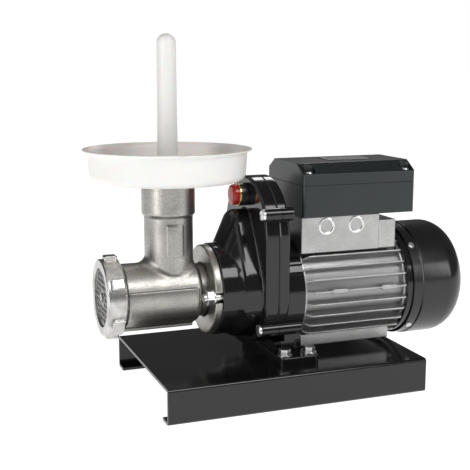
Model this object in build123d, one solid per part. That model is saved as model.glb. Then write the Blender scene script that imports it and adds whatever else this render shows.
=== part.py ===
"""Electric meat grinder with a No. 5 head, a two-stage gearbox and a finned induction motor.

Millimetres. X runs along the shafts, with the mouth towards -X and the motor towards +X.
+Z is up and z = 0 is the surface that the base stands on. Y is the width of the base.
The sizes below are laid out from a working origin; each node is written moved along X,
so that the written origin is under the middle of the whole object.
"""

from build123d import *
import os
from math import asin, atan2, cos, hypot, pi, radians, sin, sqrt, tan

# Middle of the whole object along X, which becomes the written origin
MIDDLE_X = -5.6

# Clearances
RUN_GAP = 0.05          # radial gap of a shaft in its bearing or bush
SLIDE_GAP = 0.1         # radial gap of a plunger in its guide
LOOSE_GAP = 0.3         # gap between pieces that move past each other freely
THREAD_GAP = 0.05       # radial gap drawn between a screw and its thread

# Base plate
BASE_X = (-137.0, 107.4)
BASE_WIDTH = 171.0
BASE_HEIGHT = 31.3
BASE_SHEET = 2.5
BASE_LIP = 16.3
BASE_BEND = 2.8

# Shaft heights
OUTPUT_Z = 92.6
MOTOR_Z = 88.6

# Gears
PRESSURE_ANGLE = radians(25.0)
FAST_MODULE, SLOW_MODULE = 1.5, 2.0
MOTOR_TEETH, WHEEL_TEETH = 12, 60
LAY_TEETH, OUTPUT_TEETH = 12, 38
BACKLASH = 0.22
LAY_Z = MOTOR_Z + FAST_MODULE * (MOTOR_TEETH + WHEEL_TEETH) / 2
SLOW_GEAR_X = (-47.0, -33.0)
FAST_GEAR_X = (-31.0, -20.0)
OUTPUT_WEB = (16.0, 31.0, 4.0)    # inner radius, outer radius, depth
WHEEL_WEB = (13.0, 36.0, 3.5)
OUTPUT_SHAFT_X = -72.5
TANG_X = (-88.0, -72.0)

# Gearbox housing
NECK_X = -72.1
NECK_RADIUS = 42.0
NOSE_X = (-66.0, -51.7)
NOSE_SMALL = (38.0, 12.0)
NOSE_LARGE = (46.0, 22.0)
NOSE_TOP_Z = 136.0
HOUSING_RADIUS = 52.3
CHAMBER_RADIUS = 48.8
HOUSING_FRONT_X = -36.5
PARTING_X = -23.7
GASKET = 0.5
HOUSING_REAR_X = -13.5
WHEEL_CHAMBER_X = (-33.0, -17.5)
GEAR_CHAMBER_X = -48.5
GEAR_CHAMBER = (42.0, 16.5)
ADAPTER_RADIUS = 50.0
ADAPTER_BORE = 44.0
ADAPTER_REAR_X = 2.7
ADAPTER_FLOOR_X = -9.0
RIB_ANGLES = (28.0, 36.0, 44.0)
RIB_PROUD, RIB_HALF = 2.6, 0.9
BUSH_SEAT, BUSH_SEAT_DEPTH = 13.0, 3.0
BEARING_SEAT = (24.0, -16.0)  # radius, front end
SCREW_BOSS_RADIUS = 5.9
RIM_CHAMFER = 0.7
RIM_ROUND = 2.5
NOSE_ROUND = 2.6
NOSE_ROOT_ROUND = 2.0
NOSE_ROOT_Z = 165.0
UPPER_BOSSES = ((-52.0, 166.0), (57.0, 130.0))
LOWER_BOSSES = ((-46.5, 61.7), (46.5, 61.7))
UPPER_BOSS_X = (-39.0, -12.0)
LOWER_BOSS_X = (-40.0, -1.0)
GEARBOX_SCREW = 2.5
GEARBOX_SCREW_HEAD = (5.2, 2.4)   # radius, height
GEARBOX_SLOT = (0.7, 1.0)         # half width, depth
STUD_HOLE_X = -59.5
FOOT_X = (-24.9, 12.7)
FOOT_WIDTH = 120.0
FOOT_TOP_Z = 37.8
PEDESTAL_X = (-13.5, 2.7)
PEDESTAL_WIDTH = 80.0
FOOT_BOLT_X = (-17.5, 6.5)
FOOT_BOLT_Y = 50.0
FOOT_BOLT = 3.0
BOLT_FLANGE = (6.6, 2.0)      # radius, thickness
BOLT_HEAD = (9.6, 6.0)        # across flats, height
BOLT_REACH = 16.0
BOLT_NUT = (10.0, 5.0)        # across flats, height
FOOT_CORNER = 4.0

# Bearings: bore radius, outer radius, width
OUTPUT_BEARING = (10.0, 21.0, 8.0)
OUTPUT_BEARING_X = (-66.0, -57.5)
SEAL_X = (-71.6, -66.4)
LAY_BUSH_FRONT = (5.0, 8.0, -54.0, -48.5)
LAY_BUSH_REAR = (5.0, 9.0, -18.8, -12.0)
FRONT_BEARING = (7.5, 17.5, -12.0, -1.0)
REAR_BEARING = (6.0, 16.0, 100.5, 110.5)

# Push button
BUTTON_Z = 178.0
BUTTON_RADIUS = 9.4
BUTTON_X = (-50.8, -40.6)
BUTTON_STEM = 2.6
BUTTON_ROUND = 2.4
BEZEL_RADIUS = 10.4
BUTTON_RING_X = (-44.6, -43.3)

# Motor
FRAME_X = (2.7, 106.5)
FRAME_RADIUS = 44.5
FRAME_BORE = 40.0
FIN_TIP = 53.0
FIN_PITCH = 12.5
FIN_MIDDLE = 4.5
FIN_COUNT = (-5, 4)
FIN_THICK = 1.8
END_RIMS = ((4.5, 2.2), (4.0, 2.5))   # height and width of the front and rear rim
EJECTOR_X = (36.0, 86.0)
EJECTOR = (8.0, 2.2, 2.0)             # half length, half width, corner
FOOT_PAD = ((3.2, 97.0), (-33.0, 33.0), (38.3, 50.0))
CABLE_HOLE, CABLE_HOLE_X = 9.0, 43.0
STATOR_X = (22.0, 86.0)
STATOR_BORE = 24.0
SLOTS = 24
ROTOR_GAP = 0.4
SHAFT_END_X = 134.0
TIE_ROD_RADIUS = 2.0
TIE_ROD_CIRCLE = 37.9
TIE_ROD_HEAD = 3.4
SLOT_BAR = (25.5, 34.0, 1.7)      # inner radius, outer radius, half width
END_TURN = (25.7, 34.5, 0.2)      # inner radius, outer radius, gap to the core
END_TURN_REACH = (12.0, 11.0)
ROTOR_RING = (15.0, 22.0, 6.0)    # inner radius, outer radius, reach past the core
ROTOR_BORE = 8.0
PINION_SEAT = (5.0, -15.0)        # radius, rear end
SHAFT_BODY_X = (4.0, 96.0)
SHIELD_X = (106.5, 112.0)
SHIELD_RADIUS = 52.0

# Terminal pad on the motor frame
PAD_X = (3.0, 82.0)
PAD_STEP_X = 100.0
PAD_HALF_WIDTH = 38.0
PAD_Z = (126.0, 159.7)
PAD_STEP_Z = 153.0
PLUG_X = (28.0, 58.0)
PLUG_Z = 150.5
PLUG_RADIUS = 6.4

# Fan cover
COVER_X = (112.2, 172.7)
COVER_RADIUS = 55.0
COVER_NECK = 53.7
COVER_STEP_X = 121.0
COVER_DOME = 25.0
COVER_SHEET = 1.4
COVER_SCREW_X = 116.0
COVER_SCREW = (3.0, 1.8, 1.5)     # head radius, head height, shank radius
COVER_SLOTS = (11.0, 17.5, 24.0)
SLOT_HALF, SPOKE_HALF = 1.5, 2.5
QUARTERS = (45, 135, 225, 315)
FAN_X = (118.0, 120.2, 133.0)     # back plate and blade tips
FAN_HUB, FAN_DISC, FAN_TIP = 11.0, 44.0, 43.0
FAN_BLADES = 8

# Terminal box
BOX_X = (3.2, 116.2)
BOX_HALF_WIDTH = 41.3
BOX_Z = (159.7, 187.8)
BOX_WALL = 3.0
LID_Z = (188.3, 198.0, 207.0)
LID_FLAT = 27.0
LID_WALL = 2.5
LID_CORNER = 3.0
LID_ROUND = 1.5
LID_SCREW = (10.5, 34.5)
LID_POCKET = 6.3
LID_SCREW_HEAD = (4.2, 2.6)       # radius, height
LID_SCREW_SHANK = 2.0
BOX_PILLAR = 6.0
BOX_CORNER = 3.0
SEAL_INSET = (0.5, 2.3)
LABEL = ((42.0, 86.0), (-13.0, 13.0), 0.5)
CAPACITOR = (13.0, 32.0, 88.0, 18.0)      # radius, ends, distance from the middle
BLOCK_X, BLOCK_Y, BLOCK_HEIGHT = (56.0, 100.0), (-30.0, -14.0), 14.0
PORTS = (5, 8.8, 2.2)             # number, pitch, radius
GLAND_NUT, GLAND_STEM, GLAND_DOME, GLAND_BORE = 10.0, 7.0, 9.0, 3.6
LID_POCKET_Z = 197.5
GLAND_X, GLAND_Z = 90.0, 174.0

# Grinder head
BARREL_RADIUS = 28.5
BARREL_BORE = 24.5
MOUTH_X = -168.9
THREAD_RADIUS = 30.5
THREAD_END_X = -154.8
SHOULDER_X = -87.0
REAR_NECK_RADIUS = 24.0
FLANGE_X = (-79.0, -72.1)
FLANGE_RADIUS = 40.8
STUD_Y = 34.0
STUD_RADIUS = 4.0
BAND_X = (-153.0, -91.0)
BAND_ANGLES = (-40.0, 16.0)
BAND_PROUD = 1.2
TUBE_X = -109.5
TUBE_RADIUS = 21.8
COLLAR_RADIUS = 23.8
COLLAR_Z = (162.7, 193.9)
TUBE_BORE = 18.5
TUBE_BLEND = 8.0
TUBE_FOOT_Z = 124.0
PLATE_X = (-170.7, -164.7)
PLATE_RADIUS = 27.0
PLATE_HOLE = 2.2
PLATE_PITCH = 5.7
RING_X = (-172.7, -156.5)
RING_RADIUS = 34.0
RING_OPENING = 25.85
RING_LUGS = 6
LUG_TIP = 37.6
WORM_X = (-158.3, -94.0)
WORM_RADIUS = 23.6
WORM_CORE = 11.0
WORM_SHANK = 12.0
WORM_PITCH = 21.0
WORM_FLIGHT_ANGLE = 55.0
DRIVE_SQUARE = 12.0
PLATE_PIN = 4.0
KNIFE_SQUARE = 5.0
KNIFE_HUB, BLADE_HALF, BLADE_BEVEL = 9.0, 3.2, 2.6
PIN_RADIUS = 1.6
LUG_HALF, LUG_ROUND, LUG_SETBACK = 5.2, 1.2, (3.4, 1.0)
RING_CHAMFER = 1.6
NUT_FLATS, NUT_COLLAR, NUT_SPAN = 13.0, 7.4, (7.0, 1.0)
STUD_X = (-88.5, -60.0)
RAIL_DEPTH, RAIL_HALF = 2.6, 8.0
SIDE_PAD = (7.0, (129.0, 156.0), 0.5)     # half width, height span, how far it stands proud
WORM_BORE_X = -90.0
WORM_END_X = -73.0
KNIFE_X = (-164.4, -159.6)

# Feed pan and pusher
PAN_BOTTOM_Z = 193.9
PAN_RIM_Z = 221.8
PAN_RIM = 74.6
PAN_WALL_TOP = 70.2
PAN_FLOOR = 68.4
PAN_CORNER = 7.0
PAN_SHEET = 2.0
SPOUT_RADIUS = 18.2
SPOUT_BORE = 16.2
SPOUT_Z = 166.0
PUSHER_TOP_Z = 320.5
PUSHER_TOP = 8.2
PUSHER_FOOT = 9.2
RAM_RADIUS = 15.4
RAM_Z = (146.0, 184.0)
STOP_RADIUS = 19.5
STOP_THICK = 3.0
STOP_GAP = 0.02


# Plain shapes

def block(x, y, z):
    """Box between (low, high) pairs."""
    spans = (x, y, z)
    middle = [(low + high) / 2 for low, high in spans]
    return Pos(*middle) * Box(*[high - low for low, high in spans])


def rod_x(radius, x0, x1, z, y=0.0):
    """Cylinder along X from x0 to x1."""
    return Pos((x0 + x1) / 2, y, z) * Rot(0, 90, 0) * Cylinder(radius, x1 - x0)


def rod_y(radius, x, y0, y1, z):
    """Cylinder along Y from y0 to y1."""
    return Pos(x, (y0 + y1) / 2, z) * Rot(90, 0, 0) * Cylinder(radius, y1 - y0)


def rod_z(radius, x, y, z0, z1):
    """Cylinder along Z from z0 to z1."""
    return Pos(x, y, (z0 + z1) / 2) * Cylinder(radius, z1 - z0)


def ring_x(inner, outer, x0, x1, z):
    """Ring about the axis along X at height z."""
    return rod_x(outer, x0, x1, z) - rod_x(inner, x0 - 1, x1 + 1, z)


def hexagon_x(across_flats, x0, x1, z, y=0.0):
    """Hexagonal bar along X."""
    outline = Plane.YZ.offset(x0) * Pos(y, z) * RegularPolygon(across_flats / 2, 6, major_radius=False)
    return extrude(outline, amount=x1 - x0)


def hexagon_z(across_flats, x, y, z0, z1):
    """Hexagonal bar along Z."""
    outline = Plane.XY.offset(z0) * Pos(x, y) * RegularPolygon(across_flats / 2, 6, major_radius=False)
    return extrude(outline, amount=z1 - z0)


def turned_z(outline, x):
    """Solid turned about the axis along Z at x, from a face of (radius, z)."""
    return Pos(x, 0, 0) * revolve(Plane.XZ * outline, Axis.Z)


def lobed_face(x, low_radius, low_z, high_radius, high_z):
    """Face at x round two circles, one above the other, and their outer tangents."""
    tilt = asin((low_radius - high_radius) / (high_z - low_z))
    low = (low_radius * cos(tilt), low_z + low_radius * sin(tilt))
    high = (high_radius * cos(tilt), high_z + high_radius * sin(tilt))
    outline = [
        Line(low, high),
        ThreePointArc(high, (0, high_z + high_radius), (-high[0], high[1])),
        Line((-high[0], high[1]), (-low[0], low[1])),
        ThreePointArc((-low[0], low[1]), (0, low_z - low_radius), low),
    ]
    return Plane.YZ.offset(x) * make_face(outline)


def lobed(x0, x1, low_radius, high_radius):
    """Block from x0 to x1 round the output axis and the layshaft axis."""
    return extrude(lobed_face(x0, low_radius, OUTPUT_Z, high_radius, LAY_Z), amount=x1 - x0)


def end_edges(solid, x, axis=Axis.X):
    """Edges of a solid that lie in the plane at x along an axis."""
    return solid.edges().filter_by_position(axis, x - 0.01, x + 0.01)


def rim_plate(x0, x1, parting_x, round_x):
    """Two-lobed rim of a cover: chamfered at the parting plane and rounded at its other face."""
    plate = lobed(x0, x1, HOUSING_RADIUS, HOUSING_RADIUS)
    plate = chamfer(end_edges(plate, parting_x), RIM_CHAMFER)
    return fillet(end_edges(plate, round_x), RIM_ROUND)


def boss_places():
    """Screw bosses, as (y, z, front end, rear end)."""
    upper = [(y, z, *UPPER_BOSS_X) for y, z in UPPER_BOSSES]
    return upper + [(y, z, *LOWER_BOSS_X) for y, z in LOWER_BOSSES]


def screw_boss(x0, x1, y, z, head_x):
    """Screw boss, rounded at the end that holds the screw head."""
    boss = rod_x(SCREW_BOSS_RADIUS, x0, x1, z, y)
    return fillet(end_edges(boss, head_x), 1.0)


def foot_bolt_places():
    """Centres (x, y) of the four foot bolts."""
    return [(x, side * FOOT_BOLT_Y) for x in FOOT_BOLT_X for side in (-1, 1)]


# Gears

def involute_point(base_radius, radius, turn):
    """Point of an involute at a radius, turned about the centre."""
    roll = sqrt(max(0.0, (radius / base_radius) ** 2 - 1))
    angle = roll - atan2(roll, 1) + turn
    return radius * cos(angle), radius * sin(angle)


def gear_outline(module, teeth):
    """Closed spur gear outline with a tooth centred on the first axis."""
    pitch_radius = module * teeth / 2
    base_radius = pitch_radius * cos(PRESSURE_ANGLE)
    tip_radius = pitch_radius + 0.9 * module
    root_radius = pitch_radius - 1.2 * module
    start_radius = max(base_radius, root_radius)
    spread = tan(PRESSURE_ANGLE) - PRESSURE_ANGLE
    half_tooth = (pi * module / 2 - BACKLASH) / 2 / pitch_radius + spread
    steps = [start_radius + (tip_radius - start_radius) * i / 3 for i in range(4)]
    flank = [involute_point(base_radius, radius, -half_tooth) for radius in steps]
    if base_radius > root_radius:
        flank.insert(0, (root_radius * cos(half_tooth), -root_radius * sin(half_tooth)))
    tooth = flank + [(x, -y) for x, y in reversed(flank)]
    points = []
    for k in range(teeth):
        turn = 2 * pi * k / teeth
        points += [(x * cos(turn) - y * sin(turn), x * sin(turn) + y * cos(turn)) for x, y in tooth]
    return Polyline(*points, close=True)


def gear(module, teeth, x_span, z, first_tooth, bore):
    """Spur gear about X; first_tooth is the angle of a tooth from +Y towards +Z, in degrees."""
    face = make_face(gear_outline(module, teeth)) - Circle(bore)
    placed = Plane.YZ.offset(x_span[0]) * Pos(0, z) * Rot(0, 0, first_tooth) * face
    return extrude(placed, amount=x_span[1] - x_span[0])


def webbed(wheel, web, x_span, z):
    """Gear thinned between its hub and its rim on both sides."""
    inner, outer, deep = web
    (x0, x1) = x_span
    return wheel - ring_x(inner, outer, x0 - 1, x0 + deep, z) - ring_x(inner, outer, x1 - deep, x1 + 1, z)


# Base

def base_plate():
    """Bent sheet channel with lips turned in under both long sides."""
    middle_z = BASE_HEIGHT / 2
    inner = (BASE_WIDTH - 2 * BASE_SHEET, BASE_HEIGHT - 2 * BASE_SHEET)
    profile = Pos(0, middle_z) * RectangleRounded(BASE_WIDTH, BASE_HEIGHT, BASE_BEND)
    profile -= Pos(0, middle_z) * RectangleRounded(*inner, BASE_BEND - BASE_SHEET)
    profile -= Pos(0, BASE_SHEET / 2) * Rectangle(BASE_WIDTH - 2 * BASE_LIP, 2 * BASE_SHEET)
    plate = extrude(Plane.YZ.offset(BASE_X[0]) * profile, amount=BASE_X[1] - BASE_X[0])
    for x, y in foot_bolt_places():
        plate -= rod_z(FOOT_BOLT + LOOSE_GAP, x, y, BASE_HEIGHT - 5, BASE_HEIGHT + 5)
    return plate


def base_bolts():
    """Four flanged hexagon bolts through the gearbox foot."""
    (flange_radius, flange), (flats, head) = BOLT_FLANGE, BOLT_HEAD
    bolts = []
    for x, y in foot_bolt_places():
        bolt = rod_z(FOOT_BOLT, x, y, FOOT_TOP_Z - BOLT_REACH, FOOT_TOP_Z + 1)
        bolt += rod_z(flange_radius, x, y, FOOT_TOP_Z, FOOT_TOP_Z + flange)
        bolt += hexagon_z(flats, x, y, FOOT_TOP_Z + 1, FOOT_TOP_Z + head)
        bolts.append(bolt)
    return bolts


def base_nuts():
    """Nuts of the base bolts, under the base plate."""
    top, (flats, height) = BASE_HEIGHT - BASE_SHEET, BOLT_NUT
    return [
        hexagon_z(flats, x, y, top - height, top)
        - rod_z(FOOT_BOLT + THREAD_GAP, x, y, top - height - 1, top + 1)
        for x, y in foot_bolt_places()
    ]


# Gearbox

def nose():
    """Nose round both shafts: leans back from the neck, turns over a rounded edge and runs to the rim."""
    (x0, x1), (low0, high0), (low1, high1) = NOSE_X, NOSE_SMALL, NOSE_LARGE
    start_z = NOSE_TOP_Z - high0
    sections = []
    for share, x in ((0.0, x0), (0.88, x0 + 0.88 * (x1 - x0)), (0.97, x1 + 0.6), (1.0, x1 + NOSE_ROUND)):
        low = low0 + share * (low1 - low0)
        high = high0 + share * (high1 - high0)
        sections.append(lobed_face(x, low, OUTPUT_Z, high, start_z + share * (LAY_Z - start_z)))
    return loft(sections, ruled=True) + lobed(x1 + NOSE_ROUND, HOUSING_FRONT_X, low1, high1)


def gearbox_front_cover():
    """Front casting: neck, tapered nose over both shafts, two-lobed rim and screw bosses."""
    neck = rod_x(NECK_RADIUS, NECK_X, HOUSING_FRONT_X, OUTPUT_Z)
    cover = nose() + fillet(end_edges(neck, NECK_X), 1.0)
    rim_end = PARTING_X - GASKET / 2
    cover += rim_plate(HOUSING_FRONT_X, rim_end, rim_end, HOUSING_FRONT_X)
    root = [edge for edge in end_edges(cover, HOUSING_FRONT_X) if edge.center().Z < NOSE_ROOT_Z]
    cover = fillet([edge for edge in root if abs(edge.center().Y) < HOUSING_RADIUS - 5], NOSE_ROOT_ROUND)
    for y, z, front_x, _ in boss_places():
        cover += screw_boss(front_x, rim_end, y, z, front_x)
    cover -= lobed(WHEEL_CHAMBER_X[0], rim_end + 1, CHAMBER_RADIUS, CHAMBER_RADIUS)
    cover -= lobed(GEAR_CHAMBER_X, WHEEL_CHAMBER_X[0] + 1, *GEAR_CHAMBER)
    cover -= rod_x(OUTPUT_BEARING[1], NECK_X - 1, GEAR_CHAMBER_X + 1, OUTPUT_Z)
    cover -= rod_x(LAY_BUSH_FRONT[1], LAY_BUSH_FRONT[2], GEAR_CHAMBER_X + 1, LAY_Z)
    for side in (-1, 1):
        cover -= rod_x(STUD_RADIUS + THREAD_GAP, NECK_X - 1, STUD_HOLE_X, OUTPUT_Z, side * STUD_Y)
    for y, z, front_x, _ in boss_places():
        cover -= rod_x(GEARBOX_SCREW + THREAD_GAP, front_x - 1, rim_end + 1, z, y)
    cover -= rod_x(BUTTON_STEM + SLIDE_GAP, HOUSING_FRONT_X - 1, WHEEL_CHAMBER_X[0] + 1, BUTTON_Z)
    return cover


def adapter_ribs():
    """Short ribs along the upper flanks of the motor adapter."""
    ribs = None
    for side in (-1, 1):
        for angle in RIB_ANGLES:
            radial = (ADAPTER_RADIUS - 2, ADAPTER_RADIUS + RIB_PROUD)
            rib = block((HOUSING_REAR_X, ADAPTER_REAR_X), radial, (-RIB_HALF, RIB_HALF))
            turn = angle if side > 0 else 180 - angle
            placed = Pos(0, 0, MOTOR_Z) * Rot(turn, 0, 0) * rib
            ribs = placed if ribs is None else ribs + placed
    return ribs


def gearbox_rear_cover():
    """Rear casting: two-lobed rim, motor adapter, bearing seats, pedestal and foot."""
    rim_start = PARTING_X + GASKET / 2
    cover = rim_plate(rim_start, HOUSING_REAR_X, rim_start, HOUSING_REAR_X)
    for y, z, _, rear_x in boss_places():
        cover += screw_boss(rim_start, rear_x, y, z, rear_x)
    cover += rod_x(ADAPTER_RADIUS, HOUSING_REAR_X - 1, ADAPTER_REAR_X, MOTOR_Z) + adapter_ribs()
    pedestal_y = (-PEDESTAL_WIDTH / 2, PEDESTAL_WIDTH / 2)
    cover += block(PEDESTAL_X, pedestal_y, (FOOT_TOP_Z - 1, MOTOR_Z - 25))
    foot = block(FOOT_X, (-FOOT_WIDTH / 2, FOOT_WIDTH / 2), (BASE_HEIGHT, FOOT_TOP_Z))
    foot = fillet(foot.edges().filter_by(Axis.Z), FOOT_CORNER)
    cover += fillet(end_edges(foot, FOOT_TOP_Z, Axis.Z), 1.0)
    cover += block((rim_start, HOUSING_REAR_X), pedestal_y, (FOOT_TOP_Z - 1, OUTPUT_Z - 45))
    cover -= lobed(rim_start - 1, WHEEL_CHAMBER_X[1], CHAMBER_RADIUS, CHAMBER_RADIUS)
    cover -= rod_x(ADAPTER_BORE, ADAPTER_FLOOR_X, ADAPTER_REAR_X + 1, MOTOR_Z)
    cover += rod_x(BUSH_SEAT, LAY_BUSH_REAR[2], LAY_BUSH_REAR[3] + BUSH_SEAT_DEPTH, LAY_Z)
    cover += rod_x(*BEARING_SEAT, FRONT_BEARING[3], MOTOR_Z)
    cover -= rod_x(LAY_BUSH_REAR[1], LAY_BUSH_REAR[2] - 1, LAY_BUSH_REAR[3], LAY_Z)
    cover -= rod_x(FRONT_BEARING[1], FRONT_BEARING[2], FRONT_BEARING[3] + 1, MOTOR_Z)
    cover -= rod_x(FRONT_BEARING[0] + 1, FAST_GEAR_X[1], 0.0, MOTOR_Z)
    for y, z, _, _ in boss_places():
        cover -= rod_x(GEARBOX_SCREW + THREAD_GAP, rim_start - 1, UPPER_BOSS_X[1] - 2, z, y)
    for x, y in foot_bolt_places():
        cover -= rod_z(FOOT_BOLT + LOOSE_GAP, x, y, BASE_HEIGHT - 1, FOOT_TOP_Z + 1)
    for y, z in tie_rod_places():
        cover -= rod_x(TIE_ROD_RADIUS + THREAD_GAP, HOUSING_REAR_X + 0.5, 0.0, z, y)
    return cover


def gearbox_gasket():
    """Paper gasket between the covers."""
    span = (PARTING_X - GASKET / 2, PARTING_X + GASKET / 2)
    gasket = lobed(*span, HOUSING_RADIUS - 0.4, HOUSING_RADIUS - 0.4)
    return gasket - lobed(span[0] - 1, span[1] + 1, CHAMBER_RADIUS, CHAMBER_RADIUS)


def gearbox_screws():
    """Four slotted pan-head screws that close the housing."""
    (radius, height), (half, deep) = GEARBOX_SCREW_HEAD, GEARBOX_SLOT
    screws = []
    for y, z, front_x, _ in boss_places():
        top = front_x - height
        screw = rod_x(GEARBOX_SCREW, front_x - 1, UPPER_BOSS_X[1] - 2.5, z, y)
        screw += rod_x(radius, top, front_x, z, y)
        screws.append(screw - block((top - 1, top + deep), (y - half, y + half), (z - radius - 1, z + radius + 1)))
    return screws


def output_shaft():
    """Output shaft with its square drive tang for the worm."""
    shaft = rod_x(OUTPUT_BEARING[0] - RUN_GAP, OUTPUT_SHAFT_X, SLOW_GEAR_X[1], OUTPUT_Z)
    half = DRIVE_SQUARE / 2
    return shaft + block(TANG_X, (-half, half), (OUTPUT_Z - half, OUTPUT_Z + half))


def output_gear():
    """Large gear of the slow stage, with a tooth gap straight up."""
    first = 90 + 180 / OUTPUT_TEETH
    wheel = gear(SLOW_MODULE, OUTPUT_TEETH, SLOW_GEAR_X, OUTPUT_Z, first, OUTPUT_BEARING[0] - RUN_GAP)
    return webbed(wheel, OUTPUT_WEB, SLOW_GEAR_X, OUTPUT_Z)


def output_bearings():
    """Two ball bearings of the output shaft, drawn as plain rings."""
    bore, outer, width = OUTPUT_BEARING
    return [ring_x(bore, outer, x, x + width, OUTPUT_Z) for x in OUTPUT_BEARING_X]


def output_seal():
    """Lip seal in front of the output bearings."""
    return ring_x(OUTPUT_BEARING[0] + RUN_GAP, OUTPUT_BEARING[1], *SEAL_X, OUTPUT_Z)


def layshaft():
    """Layshaft between its two bushes."""
    return rod_x(LAY_BUSH_FRONT[0] - RUN_GAP, LAY_BUSH_FRONT[2] + 0.5, LAY_BUSH_REAR[3] - 0.5, LAY_Z)


def layshaft_wheel():
    """Wheel of the fast stage, with a tooth gap straight down."""
    bore = LAY_BUSH_FRONT[0] - RUN_GAP
    wheel = gear(FAST_MODULE, WHEEL_TEETH, FAST_GEAR_X, LAY_Z, -90 + 180 / WHEEL_TEETH, bore)
    return webbed(wheel, WHEEL_WEB, FAST_GEAR_X, LAY_Z)


def layshaft_pinion():
    """Pinion of the slow stage, with a tooth straight down."""
    span = (SLOW_GEAR_X[0], FAST_GEAR_X[0])
    return gear(SLOW_MODULE, LAY_TEETH, span, LAY_Z, -90, LAY_BUSH_FRONT[0] - RUN_GAP)


def layshaft_bushes():
    """Bronze bushes of the layshaft."""
    return [ring_x(bore, outer, x0, x1, LAY_Z) for bore, outer, x0, x1 in (LAY_BUSH_FRONT, LAY_BUSH_REAR)]


# Push button

def button_bezel():
    """Black boss that guides the button."""
    boss = rod_x(BEZEL_RADIUS, BUTTON_RING_X[1], HOUSING_FRONT_X, BUTTON_Z)
    boss -= rod_x(BUTTON_RADIUS + SLIDE_GAP, BUTTON_RING_X[1] - 1, HOUSING_FRONT_X - 1, BUTTON_Z)
    return boss - rod_x(BUTTON_STEM + SLIDE_GAP, HOUSING_FRONT_X - 2, HOUSING_FRONT_X + 1, BUTTON_Z)


def button_ring():
    """Brass ring at the mouth of the bezel."""
    return ring_x(BUTTON_RADIUS + SLIDE_GAP, BEZEL_RADIUS, *BUTTON_RING_X, BUTTON_Z)


def red_button():
    """Red push cap with a soft rim and its stem."""
    x0, x1 = BUTTON_X
    cap = rod_x(BUTTON_RADIUS, x0, x1, BUTTON_Z)
    cap = fillet(cap.edges().filter_by(GeomType.CIRCLE).sort_by(Axis.X)[0], BUTTON_ROUND)
    return cap + rod_x(BUTTON_STEM, x1 - 1, HOUSING_FRONT_X - 0.2, BUTTON_Z)


def button_spring():
    """Return spring behind the cap, drawn as a plain sleeve."""
    return ring_x(BUTTON_STEM + 0.6, BUTTON_STEM + 2.4, BUTTON_X[1] + 0.05, HOUSING_FRONT_X - 1.05, BUTTON_Z)


# Motor

def fin_angles():
    """Angles of the fins above the horizontal on one flank."""
    return [FIN_MIDDLE + FIN_PITCH * k for k in range(FIN_COUNT[0], FIN_COUNT[1] + 1)]


def one_fin(angle, side):
    """Cooling fin with raked ends."""
    x0, x1 = FRAME_X
    outline = [(x0 + 1, FRAME_RADIUS - 2), (x1, FRAME_RADIUS - 2), (x1, FIN_TIP - 2.5), (x1 - 2.5, FIN_TIP)]
    outline += [(x0 + 8, FIN_TIP), (x0 + 1, FRAME_RADIUS + 3.5)]
    fin = extrude(make_face(Polyline(*outline, close=True)), amount=FIN_THICK / 2, both=True)
    turn = angle if side > 0 else 180 - angle
    return Pos(0, 0, MOTOR_Z) * Rot(turn, 0, 0) * fin


def motor_frame():
    """Die-cast frame: tube, fins, end rims, terminal pad, foot pad and two ejector bosses a side."""
    frame = rod_x(FRAME_RADIUS, *FRAME_X, MOTOR_Z)
    (front_high, front_wide), (rear_high, rear_wide) = END_RIMS
    frame += rod_x(FRAME_RADIUS + front_high, FRAME_X[0], FRAME_X[0] + front_wide, MOTOR_Z)
    frame += rod_x(FRAME_RADIUS + rear_high, FRAME_X[1] - rear_wide, FRAME_X[1], MOTOR_Z)
    frame += [one_fin(angle, side) for side in (-1, 1) for angle in fin_angles()]
    long, high, corner = EJECTOR
    for side in (-1, 1):
        for x in EJECTOR_X:
            boss = block((x - long, x + long), (FRAME_RADIUS - 1, FIN_TIP + 0.4), (-high, high))
            boss = fillet(boss.edges().filter_by(Axis.Y), corner)
            turn = FIN_MIDDLE if side > 0 else 180 - FIN_MIDDLE
            frame += Pos(0, 0, MOTOR_Z) * Rot(turn, 0, 0) * boss
    half = PAD_HALF_WIDTH
    frame += block(PAD_X, (-half, half), PAD_Z)
    frame += block((PAD_X[1] - 1, PAD_STEP_X), (-half + 1.5, half - 1.5), (PAD_Z[0], PAD_STEP_Z))
    frame += block(*FOOT_PAD)
    frame -= rod_x(FRAME_BORE, FRAME_X[0] - 1, FRAME_X[1] + 1, MOTOR_Z)
    for x in PLUG_X:
        for side in (-1, 1):
            y0, y1 = sorted((side * (half - 1.2), side * (half + 1)))
            frame -= rod_y(PLUG_RADIUS + THREAD_GAP, x, y0, y1, PLUG_Z)
    return frame - rod_z(CABLE_HOLE, CABLE_HOLE_X, 0.0, MOTOR_Z, PAD_Z[1] + 1)


def pad_plugs():
    """Blanking plugs of the unused cable entries in the terminal pad."""
    plugs = []
    for x in PLUG_X:
        for side in (-1, 1):
            y0, y1 = sorted((side * (PAD_HALF_WIDTH - 1.2), side * (PAD_HALF_WIDTH + 0.5)))
            plug = rod_y(PLUG_RADIUS, x, y0, y1, PLUG_Z)
            dish = sorted((side * (PAD_HALF_WIDTH - 0.1), side * (PAD_HALF_WIDTH + 1)))
            plugs.append(plug - rod_y(PLUG_RADIUS - 1.5, x, *dish, PLUG_Z))
    return plugs


def tie_rod_places():
    """Centres (y, z) of the four tie rods."""
    reach = TIE_ROD_CIRCLE / sqrt(2)
    return [(sy * reach, MOTOR_Z + sz * reach) for sy in (-1, 1) for sz in (-1, 1)]


def tie_rods():
    """Four long screws that draw the frame between the adapter and the end shield."""
    return [
        rod_x(TIE_ROD_RADIUS, HOUSING_REAR_X + 1, SHIELD_X[1] - 1, z, y)
        + rod_x(TIE_ROD_HEAD, SHIELD_X[1] - 1, SHIELD_X[1] + 2, z, y)
        for y, z in tie_rod_places()
    ]


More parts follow.
